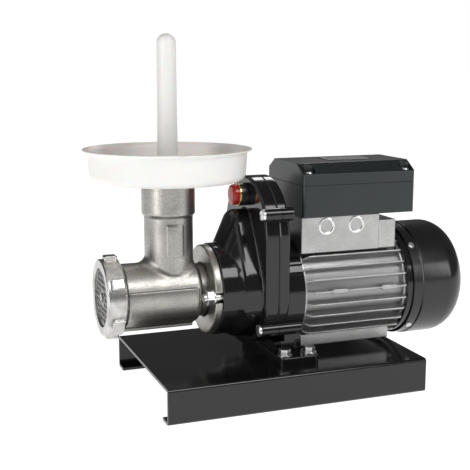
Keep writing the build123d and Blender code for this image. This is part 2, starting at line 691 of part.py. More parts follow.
def slot_bars(shrink, x0, x1):
    """Radial bars in the stator slots, shrunk by a gap all round."""
    inner, outer, half = SLOT_BAR
    bar = block((x0, x1), (inner + shrink, outer - shrink), (shrink - half, half - shrink))
    return [Pos(0, 0, MOTOR_Z) * Rot(360 / SLOTS * k, 0, 0) * bar for k in range(SLOTS)]


def stator_core():
    """Laminated stator with closed slots and notches for the tie rods."""
    core = ring_x(STATOR_BORE, FRAME_BORE, *STATOR_X, MOTOR_Z)
    core -= slot_bars(0.0, STATOR_X[0] - 1, STATOR_X[1] + 1)
    for y, z in tie_rod_places():
        core -= rod_x(TIE_ROD_RADIUS + LOOSE_GAP, STATOR_X[0] - 1, STATOR_X[1] + 1, z, y)
    return core


def stator_windings():
    """Coil bars and the two end turns."""
    (x0, x1), (inner, outer, gap) = STATOR_X, END_TURN
    front = ring_x(inner, outer, x0 - END_TURN_REACH[0], x0 - gap, MOTOR_Z)
    rear = ring_x(inner, outer, x1 + gap, x1 + END_TURN_REACH[1], MOTOR_Z)
    return front + rear + slot_bars(0.1, x0 - 1, x1 + 1)


def rotor_core():
    """Squirrel-cage rotor."""
    (x0, x1), (inner, outer, reach) = STATOR_X, ROTOR_RING
    rotor = rod_x(STATOR_BORE - ROTOR_GAP, x0 + 1, x1 - 1, MOTOR_Z)
    rotor += ring_x(inner, outer, x0 - reach, x1 + reach, MOTOR_Z)
    return rotor - rod_x(ROTOR_BORE, x0 - reach - 1, x1 + reach + 1, MOTOR_Z)


def motor_shaft():
    """Stepped motor shaft, from the pinion seat to the fan seat."""
    front, rear = FRONT_BEARING[0] - RUN_GAP, REAR_BEARING[0] - RUN_GAP
    (seat, seat_end), (x0, x1) = PINION_SEAT, SHAFT_BODY_X
    shaft = rod_x(seat, FAST_GEAR_X[0], seat_end, MOTOR_Z)
    shaft += rod_x(front, seat_end - 0.5, x0, MOTOR_Z) + rod_x(ROTOR_BORE, x0, x1, MOTOR_Z)
    return shaft + rod_x(rear, x1, SHAFT_END_X, MOTOR_Z)


def motor_pinion():
    """Pinion of the fast stage, with a tooth straight up."""
    return gear(FAST_MODULE, MOTOR_TEETH, FAST_GEAR_X, MOTOR_Z, 90, PINION_SEAT[0])


def motor_bearings():
    """Front and rear ball bearings of the motor, drawn as plain rings."""
    return [ring_x(bore, outer, x0, x1, MOTOR_Z) for bore, outer, x0, x1 in (FRONT_BEARING, REAR_BEARING)]


def rear_end_shield():
    """Black end shield with the rear bearing seat and the spigot of the fan cover."""
    shield = rod_x(SHIELD_RADIUS, *SHIELD_X, MOTOR_Z)
    shield += rod_x(FRAME_BORE - 0.02, SHIELD_X[0] - 5, SHIELD_X[0], MOTOR_Z)
    shield -= rod_x(34.8, SHIELD_X[0] - 6, SHIELD_X[0] + 1, MOTOR_Z)
    shield += rod_x(20.0, REAR_BEARING[2] - 1, SHIELD_X[1] + 1, MOTOR_Z)
    inner_cover = COVER_NECK - COVER_SHEET - 0.2
    shield += ring_x(inner_cover - 3.0, inner_cover, SHIELD_X[1] - 1, COVER_SCREW_X + 4, MOTOR_Z)
    shield -= rod_x(REAR_BEARING[1], REAR_BEARING[2] - 2, REAR_BEARING[3], MOTOR_Z)
    shield -= rod_x(REAR_BEARING[0] + 1, 100.0, 120.0, MOTOR_Z)
    for y, z in tie_rod_places():
        shield -= rod_x(TIE_ROD_RADIUS + LOOSE_GAP, SHIELD_X[0] - 6, SHIELD_X[1] + 1, z, y)
        shield -= rod_x(TIE_ROD_HEAD + 0.2, SHIELD_X[1] - 1, SHIELD_X[1] + 3, z, y)
    for hole in cover_screw_holes(COVER_SCREW[2] + 0.1):
        shield -= hole
    return shield


def cover_screw_holes(radius):
    """Radial rods at the four places of the fan cover screws."""
    reach = (COVER_NECK - 6, COVER_NECK + 3)
    length, middle = reach[1] - reach[0], sum(reach) / 2
    rod = Pos(COVER_SCREW_X, middle, 0) * Rot(90, 0, 0) * Cylinder(radius, length)
    return [Pos(0, 0, MOTOR_Z) * Rot(angle, 0, 0) * rod for angle in QUARTERS]


def cooling_fan():
    """Radial fan: hub, back plate and straight blades."""
    x0, plate_x, x1 = FAN_X
    fan = rod_x(FAN_HUB, x0, x1, MOTOR_Z) + rod_x(FAN_DISC, x0, plate_x, MOTOR_Z)
    blade = block((plate_x - 0.5, x1), (FAN_HUB - 2, FAN_TIP), (-0.9, 0.9))
    fan += [Pos(0, 0, MOTOR_Z) * Rot(360 / FAN_BLADES * k, 0, 0) * blade for k in range(FAN_BLADES)]
    return fan - rod_x(REAR_BEARING[0] - RUN_GAP, x0 - 1, x1 + 2, MOTOR_Z)


def cover_form(shrink):
    """Outer form of the fan cover, shrunk by a thickness."""
    neck, band = COVER_NECK - shrink, COVER_RADIUS - shrink
    end = COVER_X[1] - shrink
    dome = COVER_DOME - shrink
    middle = (end - dome * (1 - sin(pi / 4)), band - dome * (1 - cos(pi / 4)))
    start = COVER_X[0] - (1 if shrink else 0)
    outline = Polyline((end, band - dome), (end, 0), (start, 0), (start, neck), (COVER_STEP_X, neck),
                       (COVER_STEP_X + 1.0, band), (end - dome, band))
    face = make_face([*outline.edges(), ThreePointArc((end - dome, band), middle, (end, band - dome))])
    return Pos(0, 0, MOTOR_Z) * revolve(face, Axis.X)


def fan_cover():
    """Pressed cover over the fan, with rings of air slots in its end."""
    cover = cover_form(0.0) - cover_form(COVER_SHEET)
    x0, x1 = COVER_X[1] - 4, COVER_X[1] + 1
    half, reach = SPOKE_HALF, COVER_RADIUS + 1
    spokes = block((x0 - 1, x1 + 1), (-reach, reach), (MOTOR_Z - half, MOTOR_Z + half))
    spokes += block((x0 - 1, x1 + 1), (-half, half), (MOTOR_Z - reach, MOTOR_Z + reach))
    for radius in COVER_SLOTS:
        cover -= ring_x(radius - SLOT_HALF, radius + SLOT_HALF, x0, x1, MOTOR_Z) - spokes
    for hole in cover_screw_holes(COVER_SCREW[2] + 0.1):
        cover -= hole
    return cover


def fan_cover_screws():
    """Four round-head screws that hold the fan cover."""
    radius, height, shank_radius = COVER_SCREW
    head = rod_y(radius, COVER_SCREW_X, COVER_NECK, COVER_NECK + height, 0)
    head = fillet(head.edges().sort_by(Axis.Y)[-1], height * 2 / 3)
    shank = rod_y(shank_radius, COVER_SCREW_X, COVER_NECK - 4.5, COVER_NECK + 0.5, 0)
    return [Pos(0, 0, MOTOR_Z) * Rot(angle, 0, 0) * (head + shank) for angle in QUARTERS]


# Terminal box

def box_corners():
    """Places (x, y) of the four lid screws."""
    inset_x, y = LID_SCREW
    near_x, far_x = BOX_X[0] + inset_x - 3, BOX_X[1] - inset_x + 3
    return [(x, side * y) for x in (near_x, far_x) for side in (-1, 1)]


def terminal_box():
    """Box that stands on the terminal pad, with a cable entry in its floor."""
    width = BOX_HALF_WIDTH
    box = block(BOX_X, (-width, width), BOX_Z)
    box = fillet(box.edges().filter_by(Axis.Z), BOX_CORNER)
    inner = block((BOX_X[0] + BOX_WALL, BOX_X[1] - BOX_WALL), (-width + BOX_WALL, width - BOX_WALL),
                  (BOX_Z[0] + BOX_WALL, BOX_Z[1] + 1))
    for x, y in box_corners():
        inner -= rod_z(BOX_PILLAR, x, y, BOX_Z[0], BOX_Z[1] + 2)
    box -= inner
    box -= rod_z(CABLE_HOLE, CABLE_HOLE_X, 0.0, BOX_Z[0] - 1, BOX_Z[0] + BOX_WALL + 1)
    for x, y in box_corners():
        box -= rod_z(LID_SCREW_SHANK + THREAD_GAP, x, y, BOX_Z[1] - 12, BOX_Z[1] + 1)
    return box - rod_y(GLAND_STEM + THREAD_GAP, GLAND_X, width - BOX_WALL - 1, width + 1, GLAND_Z)


def lid_profile(shrink):
    """Cross-section of the lid with sloped flanks, in (y, z)."""
    side, flat = BOX_HALF_WIDTH - shrink, LID_FLAT - shrink / 2
    low, edge, top = LID_Z[0] - (1 if shrink else 0), LID_Z[1] - shrink / 2, LID_Z[2] - shrink
    half = [(side, low), (side, edge), (flat, top)]
    return make_face(Polyline(*half, *[(-y, z) for y, z in reversed(half)], close=True))


def terminal_box_lid():
    """Hollow lid with sloped flanks and a screw pocket in each corner."""
    x0, x1 = BOX_X
    lid = extrude(Plane.YZ.offset(x0) * lid_profile(0.0), amount=x1 - x0)
    lid = fillet(lid.edges().filter_by(Axis.Z), LID_CORNER)
    along = lid.edges().filter_by(Axis.X).filter_by(lambda edge: edge.center().Z > LID_Z[0] + 1)
    lid = fillet(along, LID_ROUND)
    hollow_x = x0 + LID_WALL
    hollow = extrude(Plane.YZ.offset(hollow_x) * lid_profile(LID_WALL), amount=x1 - x0 - 2 * LID_WALL)
    for x, y in box_corners():
        pillar_x = sorted((x, x0 if x < 50 else x1))
        side = 1 if y > 0 else -1
        hollow -= rod_z(LID_POCKET + 2, x, y, LID_Z[0] - 2, LID_Z[2] + 1)
        hollow -= block(pillar_x, sorted((y, side * BOX_HALF_WIDTH)), (LID_Z[0] - 2, LID_Z[2] + 1))
    lid -= hollow
    for x, y in box_corners():
        lid -= rod_z(LID_POCKET, x, y, LID_POCKET_Z, LID_Z[2] + 2)
        lid -= rod_z(LID_SCREW_SHANK + LOOSE_GAP, x, y, LID_Z[0] - 1, LID_POCKET_Z + 1)
    return lid


def lid_gasket():
    """Foam gasket between the box and its lid."""
    gap, edge = SEAL_INSET
    outer, inner = BOX_HALF_WIDTH - gap, BOX_HALF_WIDTH - edge
    gasket = block((BOX_X[0] + gap, BOX_X[1] - gap), (-outer, outer), (BOX_Z[1], LID_Z[0]))
    gasket = fillet(gasket.edges().filter_by(Axis.Z), BOX_CORNER - gap)
    return gasket - block((BOX_X[0] + edge, BOX_X[1] - edge), (-inner, inner), (BOX_Z[1] - 1, LID_Z[0] + 1))


def lid_screws():
    """Four cross-slotted screws in the lid's corner pockets."""
    radius, height = LID_SCREW_HEAD
    screws = []
    for x, y in box_corners():
        screw = rod_z(radius, x, y, LID_POCKET_Z, LID_POCKET_Z + height)
        screw += rod_z(LID_SCREW_SHANK, x, y, BOX_Z[1] - 10, LID_POCKET_Z + 1)
        slot_z = (LID_POCKET_Z + height - 1, LID_POCKET_Z + height + 1)
        screw -= block((x - 3, x + 3), (y - 0.5, y + 0.5), slot_z)
        screws.append(screw - block((x - 0.5, x + 0.5), (y - 3, y + 3), slot_z))
    return screws


def label_plate():
    """Thin blank rating plate on the lid."""
    x_span, y_span, thick = LABEL
    plate = block(x_span, y_span, (LID_Z[2], LID_Z[2] + thick))
    return fillet(plate.edges().filter_by(Axis.Z), 1.5)


def run_capacitor():
    """Motor capacitor that lies in the terminal box."""
    radius, x0, x1, y = CAPACITOR
    return rod_x(radius, x0, x1, BOX_Z[0] + BOX_WALL + radius + 0.5, y)


def terminal_block():
    """Terminal block with a row of wire ports."""
    block_z = (BOX_Z[0] + BOX_WALL, BOX_Z[0] + BOX_WALL + BLOCK_HEIGHT)
    body = block(BLOCK_X, BLOCK_Y, block_z)
    count, pitch, radius = PORTS
    for k in range(count):
        x = BLOCK_X[0] + 4.5 + pitch * k
        body -= rod_z(radius, x, sum(BLOCK_Y) / 2, block_z[1] - 6, block_z[1] + 1)
    return body


def cable_gland():
    """Cable gland in the rear wall of the terminal box, with its open bore."""
    y = BOX_HALF_WIDTH
    outline = Plane.XZ.offset(-y) * Pos(GLAND_X, GLAND_Z) * RegularPolygon(GLAND_NUT, 6, major_radius=False)
    gland = extrude(outline, amount=-6.0)
    gland += rod_y(GLAND_STEM, GLAND_X, y - BOX_WALL - 3, y + 1, GLAND_Z)
    dome = rod_y(GLAND_DOME, GLAND_X, y + 5, y + 16, GLAND_Z)
    gland += fillet(dome.edges().sort_by(Axis.Y)[-1], 4.0)
    return gland - rod_y(GLAND_BORE, GLAND_X, y - 20, y + 20, GLAND_Z)


# Grinder head

def casting_band(side):
    """Low raised band along one flank of the barrel, with rounded ends."""
    band = ring_x(BARREL_RADIUS - 1, BARREL_RADIUS + BAND_PROUD, *BAND_X, 0)
    low, high = (radians(a) for a in BAND_ANGLES)
    reach = 2 * BARREL_RADIUS
    wedge = [(0, 0), (reach * cos(low), reach * sin(low)), (reach, 0), (reach * cos(high), reach * sin(high))]
    wedge = extrude(Plane.YZ.offset(BAND_X[0] - 1) * make_face(Polyline(*wedge, close=True)), amount=90)
    band = band & wedge
    turn = Rot(0, 0, 0) if side > 0 else Rot(0, 0, 180)
    centre = sum(BAND_X) / 2
    moved = Pos(centre, 0, OUTPUT_Z) * turn * Pos(-centre, 0, 0) * band
    return moved


def grinder_flange():
    """Round flange with an open slot each side for the studs."""
    flange = rod_x(FLANGE_RADIUS, *FLANGE_X, OUTPUT_Z)
    flange = fillet(flange.edges().filter_by(GeomType.CIRCLE), 0.8)
    half = STUD_RADIUS + LOOSE_GAP
    for side in (-1, 1):
        slot_y = sorted((side * STUD_Y, side * (FLANGE_RADIUS + 5)))
        flange -= block((FLANGE_X[0] - 1, FLANGE_X[1] + 1), slot_y, (OUTPUT_Z - half, OUTPUT_Z + half))
        flange -= rod_x(half, FLANGE_X[0] - 1, FLANGE_X[1] + 1, OUTPUT_Z, side * STUD_Y)
    return flange


def head_casting():
    """Cast head: threaded mouth, barrel, feed tube with its collar, and the rear flange."""
    barrel = rod_x(BARREL_RADIUS, THREAD_END_X - 1, SHOULDER_X, OUTPUT_Z)
    barrel = fillet(barrel.edges().sort_by(Axis.X)[-1], 3.0)
    tube = rod_z(TUBE_RADIUS, TUBE_X, 0, OUTPUT_Z, COLLAR_Z[0] + 2)
    body = barrel + tube
    joint = body.edges().filter_by(GeomType.BSPLINE) or body.edges().filter_by(GeomType.OTHER)
    body = fillet(joint, TUBE_BLEND)
    low, high = COLLAR_Z
    outline = [(0, low), (TUBE_RADIUS, low), (COLLAR_RADIUS, low + 2.2), (COLLAR_RADIUS, high), (0, high)]
    body += turned_z(make_face(Polyline(*outline, close=True)), TUBE_X)
    body += rod_x(THREAD_RADIUS, MOUTH_X, THREAD_END_X, OUTPUT_Z)
    body += rod_x(REAR_NECK_RADIUS, SHOULDER_X - 1, FLANGE_X[0] + 1, OUTPUT_Z)
    body += grinder_flange() + casting_band(1) + casting_band(-1)
    rail_z = (OUTPUT_Z - BARREL_RADIUS - RAIL_DEPTH, OUTPUT_Z - BARREL_RADIUS + 4)
    body += block((THREAD_END_X - 0.2, SHOULDER_X - 3), (-RAIL_HALF, RAIL_HALF), rail_z)
    half, pad_z, proud = SIDE_PAD
    pad = block((TUBE_X - half, TUBE_X + half), (-TUBE_RADIUS - proud, -TUBE_RADIUS + 3), pad_z)
    body += pad & rod_z(TUBE_RADIUS + proud, TUBE_X, 0, pad_z[0] - 1, pad_z[1] + 1)
    body -= rod_x(PLATE_RADIUS + THREAD_GAP, MOUTH_X - 1, PLATE_X[1], OUTPUT_Z)
    body -= rod_x(BARREL_BORE, PLATE_X[1] - 1, WORM_BORE_X, OUTPUT_Z)
    body -= rod_x(WORM_SHANK + RUN_GAP, WORM_BORE_X - 1, FLANGE_X[1] + 1, OUTPUT_Z)
    body -= rod_z(TUBE_BORE, TUBE_X, 0, OUTPUT_Z, COLLAR_Z[1] + 1)
    return body - plate_pin_rod(THREAD_GAP)


def tube_space():
    """Space above the barrel that the feed tube stands in."""
    reach = COLLAR_RADIUS + 1
    return block((TUBE_X - reach, TUBE_X + reach), (-reach, reach), (TUBE_FOOT_Z, COLLAR_Z[1] + 1))


def grinder_body():
    """Lower part of the head's casting, up to the foot of the feed tube."""
    return head_casting() - tube_space()


def feed_tube():
    """Upper part of the head's casting: the feed tube and its collar."""
    return head_casting() & tube_space()


def plate_pin_rod(grow):
    """Locating pin of the cutting plate, in the wall of the mouth."""
    return rod_x(PIN_RADIUS + grow, PLATE_X[0] + 1.9 - grow, PLATE_X[1] + 3.0 + grow, OUTPUT_Z - PLATE_RADIUS + 0.2)


def plate_pin():
    """Locating pin that stops the cutting plate from turning."""
    return plate_pin_rod(0.0)


def grinder_studs():
    """Two studs in the gearbox neck that hold the head's flange."""
    return [rod_x(STUD_RADIUS, *STUD_X, OUTPUT_Z, side * STUD_Y) for side in (-1, 1)]


def grinder_nuts():
    """Two hexagon nuts with collars on the studs."""
    seat, (reach, collar) = FLANGE_X[0], NUT_SPAN
    nuts = []
    for side in (-1, 1):
        nut = hexagon_x(NUT_FLATS, seat - reach, seat - collar, OUTPUT_Z, side * STUD_Y)
        nut += rod_x(NUT_COLLAR, seat - collar - 0.4, seat, OUTPUT_Z, side * STUD_Y)
        nut -= rod_x(STUD_RADIUS + THREAD_GAP, seat - reach - 1, seat + 1, OUTPUT_Z, side * STUD_Y)
        nuts.append(nut)
    return nuts


def worm_screw(length):
    """Core and helical flight about Z: a circle with a raised sector, twisted as it is drawn out."""
    half = radians(WORM_FLIGHT_ANGLE / 2)
    inner, outer = WORM_CORE, WORM_RADIUS
    inner_ends = [(inner * cos(a), inner * sin(a)) for a in (-half, half)]
    outer_ends = [(outer * cos(a), outer * sin(a)) for a in (-half, half)]
    sector = make_face([
        Line(inner_ends[0], outer_ends[0]), ThreePointArc(outer_ends[0], (outer, 0), outer_ends[1]),
        Line(outer_ends[1], inner_ends[1]), ThreePointArc(inner_ends[1], (-inner, 0), inner_ends[0]),
    ])
    turn = 360 * length / WORM_PITCH
    return Solid.extrude_linear_with_rotation(sector.face(), (0, 0, 0), (0, 0, length), turn)


def worm():
    """Feed worm: core, helical flight, knife square, plate pin and driven shank."""
    x0, x1 = WORM_X
    screw = Pos(x0, 0, OUTPUT_Z) * Rot(0, 90, 0) * worm_screw(x1 - x0)
    core = screw + rod_x(WORM_SHANK, x1, WORM_END_X, OUTPUT_Z) + rod_x(WORM_CORE - 2, x0 - 1.2, x0, OUTPUT_Z)
    half = KNIFE_SQUARE
    core += block((KNIFE_X[0], x0), (-half, half), (OUTPUT_Z - half, OUTPUT_Z + half))
    core += rod_x(PLATE_PIN, PLATE_X[0] - 1.5, KNIFE_X[0] + 1, OUTPUT_Z)
    socket = DRIVE_SQUARE / 2 + 0.1
    return core - block((TANG_X[0] - 0.5, TANG_X[1]), (-socket, socket), (OUTPUT_Z - socket, OUTPUT_Z + socket))


def knife():
    """Four-bladed knife on the worm's square."""
    blade = block(KNIFE_X, (KNIFE_SQUARE - 1, BARREL_BORE - 1.0), (-BLADE_HALF, BLADE_HALF))
    blade = chamfer(blade.edges().filter_by(Axis.Y).sort_by(Axis.X)[-1], BLADE_BEVEL)
    body = rod_x(KNIFE_HUB, *KNIFE_X, 0)
    body += [Rot(90 * k, 0, 0) * blade for k in range(4)]
    half = KNIFE_SQUARE + RUN_GAP
    body -= block((KNIFE_X[0] - 1, KNIFE_X[1] + 1), (-half, half), (-half, half))
    return Pos(0, 0, OUTPUT_Z) * body


def plate_holes():
    """Centres (y, z) of the cutting plate's holes, in a triangular grid."""
    places = []
    rows = int(PLATE_RADIUS / (PLATE_PITCH * sin(pi / 3))) + 1
    for row in range(-rows, rows + 1):
        for column in range(-rows, rows + 1):
            y = PLATE_PITCH * (column + 0.5 * (row % 2))
            z = PLATE_PITCH * sin(pi / 3) * row
            if PLATE_PIN + PLATE_HOLE + 0.4 < hypot(y, z) < RING_OPENING - 2.6:
                places.append((y, z))
    return places


def cutting_plate():
    """Perforated plate with a notch for its locating pin."""
    face = Circle(PLATE_RADIUS) - Circle(PLATE_PIN + 2 * RUN_GAP)
    face -= Pos(0, -PLATE_RADIUS + 0.2) * Circle(PIN_RADIUS + LOOSE_GAP)
    face -= [Pos(y, z) * Circle(PLATE_HOLE) for y, z in plate_holes()]
    return extrude(Plane.YZ.offset(PLATE_X[0]) * Pos(0, OUTPUT_Z) * face, amount=PLATE_X[1] - PLATE_X[0])


def ring_nut():
    """Ring nut that clamps the plate, with six grip lugs."""
    x0, x1 = RING_X
    ring = rod_x(RING_RADIUS, x0, x1, OUTPUT_Z)
    ring = chamfer(ring.edges().filter_by(GeomType.CIRCLE).sort_by(Axis.X)[0], RING_CHAMFER)
    lug_x = (x0 + LUG_SETBACK[0], x1 - LUG_SETBACK[1])
    lug = block(lug_x, (RING_RADIUS - 3, LUG_TIP), (-LUG_HALF, LUG_HALF))
    lug = fillet(lug.edges().sort_by(Axis.Y)[-4:], LUG_ROUND)
    ring += [Pos(0, 0, OUTPUT_Z) * Rot(90 + 360 / RING_LUGS * k, 0, 0) * lug for k in range(RING_LUGS)]
    ring -= rod_x(THREAD_RADIUS + LOOSE_GAP, PLATE_X[0] - 0.05, x1 + 1, OUTPUT_Z)
    return ring - rod_x(RING_OPENING, x0 - 1, x0 + 6, OUTPUT_Z)


# Feed pan and pusher

def feed_pan():
    """Round pan with a flared lip and a spout that stands in the feed tube."""
    floor_top = PAN_BOTTOM_Z + PAN_SHEET
    corner = PAN_CORNER
    lip_z = PAN_RIM_Z - PAN_SHEET
    inner_top = PAN_WALL_TOP - PAN_SHEET
    inner_low = PAN_FLOOR - PAN_SHEET
    outside = FilletPolyline(
        (SPOUT_BORE, floor_top), (SPOUT_BORE, SPOUT_Z), (SPOUT_RADIUS, SPOUT_Z), (SPOUT_RADIUS, PAN_BOTTOM_Z),
        (PAN_FLOOR, PAN_BOTTOM_Z), (PAN_WALL_TOP, lip_z),
        (PAN_RIM, PAN_RIM_Z - 0.6), (PAN_RIM - 0.6, PAN_RIM_Z), (PAN_RIM - 2.6, PAN_RIM_Z),
        (inner_top, PAN_RIM_Z - 3.2), (inner_low, floor_top), (SPOUT_BORE, floor_top),
        radius=[1.0, 0.6, 0.6, 0.0, corner, 3.0, 0.2, 0.2, 0.5, 2.5, corner - PAN_SHEET],
    )
    return turned_z(make_face(outside), TUBE_X)


def pusher():
    """White pusher: tapered handle with a domed end, and the ram inside the spout."""
    low, top = RAM_Z
    dome_z = PUSHER_TOP_Z - PUSHER_TOP
    middle = (PUSHER_TOP * sin(pi / 4), dome_z + PUSHER_TOP * cos(pi / 4))
    stop_low = PAN_BOTTOM_Z + PAN_SHEET + STOP_GAP
    stop_top = stop_low + STOP_THICK
    side = Polyline((0, PUSHER_TOP_Z), (0, low),
                    (RAM_RADIUS - 1, low), (RAM_RADIUS, low + 1), (RAM_RADIUS, top),
                    (RAM_RADIUS - 2, top + 2), (RAM_RADIUS - 2, stop_low), (STOP_RADIUS, stop_low),
                    (STOP_RADIUS, stop_top), (PUSHER_FOOT + 2, stop_top), (PUSHER_FOOT, stop_top + 3),
                    (PUSHER_TOP, dome_z))
    face = make_face([*side.edges(), ThreePointArc((PUSHER_TOP, dome_z), middle, (0, PUSHER_TOP_Z))])
    return turned_z(face, TUBE_X)


NODES = [
    base_plate, base_bolts, base_nuts,
    gearbox_front_cover, gearbox_rear_cover, gearbox_gasket, gearbox_screws,
    output_shaft, output_gear, output_bearings, output_seal,
    layshaft, layshaft_wheel, layshaft_pinion, layshaft_bushes,
    button_bezel, button_ring, red_button, button_spring,
    motor_frame, pad_plugs, tie_rods, stator_core, stator_windings, rotor_core,
    motor_shaft, motor_pinion, motor_bearings, rear_end_shield, cooling_fan, fan_cover, fan_cover_screws,
    terminal_box, terminal_box_lid, lid_gasket, lid_screws, label_plate,
    run_capacitor, terminal_block, cable_gland,
    grinder_body, feed_tube, grinder_studs, grinder_nuts, plate_pin, worm, knife, cutting_plate, ring_nut,
    feed_pan, pusher,
]


def write_node(make):
    """Build one node and write its STEP file under the node's name."""
    made = make()
    solids = [solid for piece in (made if isinstance(made, list) else [made]) for solid in piece.solids()]
    solids = [Pos(-MIDDLE_X, 0, 0) * solid for solid in solids]
    shape = Compound(children=solids) if len(solids) > 1 else solids[0]
    export_step(shape, f"parts/{make.__name__}.step")


os.makedirs("parts", exist_ok=True)
for node in NODES:
    write_node(node)
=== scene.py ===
"""Electric meat grinder with a No. 5 head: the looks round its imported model.

Metres in the scene; the classes below hold their sizes in millimetres. X runs along the shafts
with the mouth towards -X, Y is the width of the base, Z is up and the base stands at z = 0.
"""

import logging
from collections.abc import Callable, Iterable, Sequence
from dataclasses import dataclass
from enum import Enum
from math import cos, hypot, pi, radians, tan

import bmesh
import bpy
from mathutils import Matrix, Vector


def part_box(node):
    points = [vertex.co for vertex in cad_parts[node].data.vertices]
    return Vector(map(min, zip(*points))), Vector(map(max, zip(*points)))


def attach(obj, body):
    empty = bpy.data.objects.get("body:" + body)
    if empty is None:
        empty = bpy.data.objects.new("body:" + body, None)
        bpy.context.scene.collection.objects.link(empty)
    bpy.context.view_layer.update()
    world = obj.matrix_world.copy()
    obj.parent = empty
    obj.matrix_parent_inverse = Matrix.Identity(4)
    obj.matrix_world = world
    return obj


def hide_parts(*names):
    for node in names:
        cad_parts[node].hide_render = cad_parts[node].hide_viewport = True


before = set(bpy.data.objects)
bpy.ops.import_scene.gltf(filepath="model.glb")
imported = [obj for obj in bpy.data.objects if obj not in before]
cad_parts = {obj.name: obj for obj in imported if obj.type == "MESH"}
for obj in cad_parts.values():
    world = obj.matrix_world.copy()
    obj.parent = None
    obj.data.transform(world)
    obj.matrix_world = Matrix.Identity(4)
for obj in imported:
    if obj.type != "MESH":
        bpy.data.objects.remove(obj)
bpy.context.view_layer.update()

MM = 0.001
HEXAGON = 6
SHARP = radians(28.0)
DOUBLED = 0.002
CLIP_END = 100.0
LOG = logging.getLogger("meat_grinder")

Colour = tuple[float, float, float]
Point = tuple[float, float, float]
Corner = tuple[float, ...]


class Axis(Enum):
    """An axis of the model, by its place in a vector."""

    X = 0
    Y = 1
    Z = 2

    def unit(self) -> Vector:
        """Return the axis as a vector of length 1."""
        return Vector([float(axis is self) for axis in Axis])


class Body(Enum):
    """The moving bodies that pieces ride on."""

    FRAME = "frame"
    BUTTON = "button_body"
    RING_NUT = "ring_nut_body"
    PAN = "pan_body"
    PUSHER = "pusher_body"


# Shared heights of the two shafts, from the working parts that turn on them
OUTPUT_Z = sum(corner.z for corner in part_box("output_shaft")) / 2 / MM
MOTOR_Z = sum(corner.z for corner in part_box("motor_shaft")) / 2 / MM
TUBE_X = sum(corner.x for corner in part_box("feed_pan")) / 2 / MM


# Finishes


class Wire:
    """A socket of a material. Arithmetic on it adds Math nodes."""

    def __init__(self, shop: "PaintShop", socket: bpy.types.NodeSocket) -> None:
        """Wrap a socket.

        Args:
            shop: The material that the socket belongs to.
            socket: An output socket.
        """
        self.shop = shop
        self.socket = socket

    def out(self, name: str) -> "Wire":
        """Return another output of the same node."""
        return Wire(self.shop, self.socket.node.outputs[name])

    def _math(self, operation: str, *values: "Wire | float") -> "Wire":
        """Return the result of a Math node on the values."""
        return self.shop.node("ShaderNodeMath", {"operation": operation}, dict(enumerate(values)))

    def __add__(self, other: "Wire | float") -> "Wire":
        """Return self + other."""
        return self._math("ADD", self, other)

    __radd__ = __add__

    def __sub__(self, other: "Wire | float") -> "Wire":
        """Return self - other."""
        return self._math("SUBTRACT", self, other)

    def __rsub__(self, other: float) -> "Wire":
        """Return other - self."""
        return self._math("SUBTRACT", other, self)

    def __mul__(self, other: "Wire | float") -> "Wire":
        """Return self * other."""
        return self._math("MULTIPLY", self, other)

    __rmul__ = __mul__

    def __truediv__(self, other: "Wire | float") -> "Wire":
        """Return self / other."""
        return self._math("DIVIDE", self, other)

    def __pow__(self, other: "Wire | float") -> "Wire":
        """Return self ** other."""
        return self._math("POWER", self, other)

    def __abs__(self) -> "Wire":
        """Return the absolute value."""
        return self._math("ABSOLUTE", self)

    def sine(self) -> "Wire":
        """Return the sine of the value in radians."""
        return self._math("SINE", self)

    def above(self, edge: float) -> "Wire":
        """Return 1 where the value is above the edge, and 0 elsewhere."""
        return self._math("GREATER_THAN", self, edge)

    def share(self, low: float, high: float) -> "Wire":
        """Return where the value lies between low, 0, and high, 1, held to that range."""
        inputs = {"Value": self, "From Min": low, "From Max": high}
        return self.shop.node("ShaderNodeMapRange", {"clamp": True}, inputs)


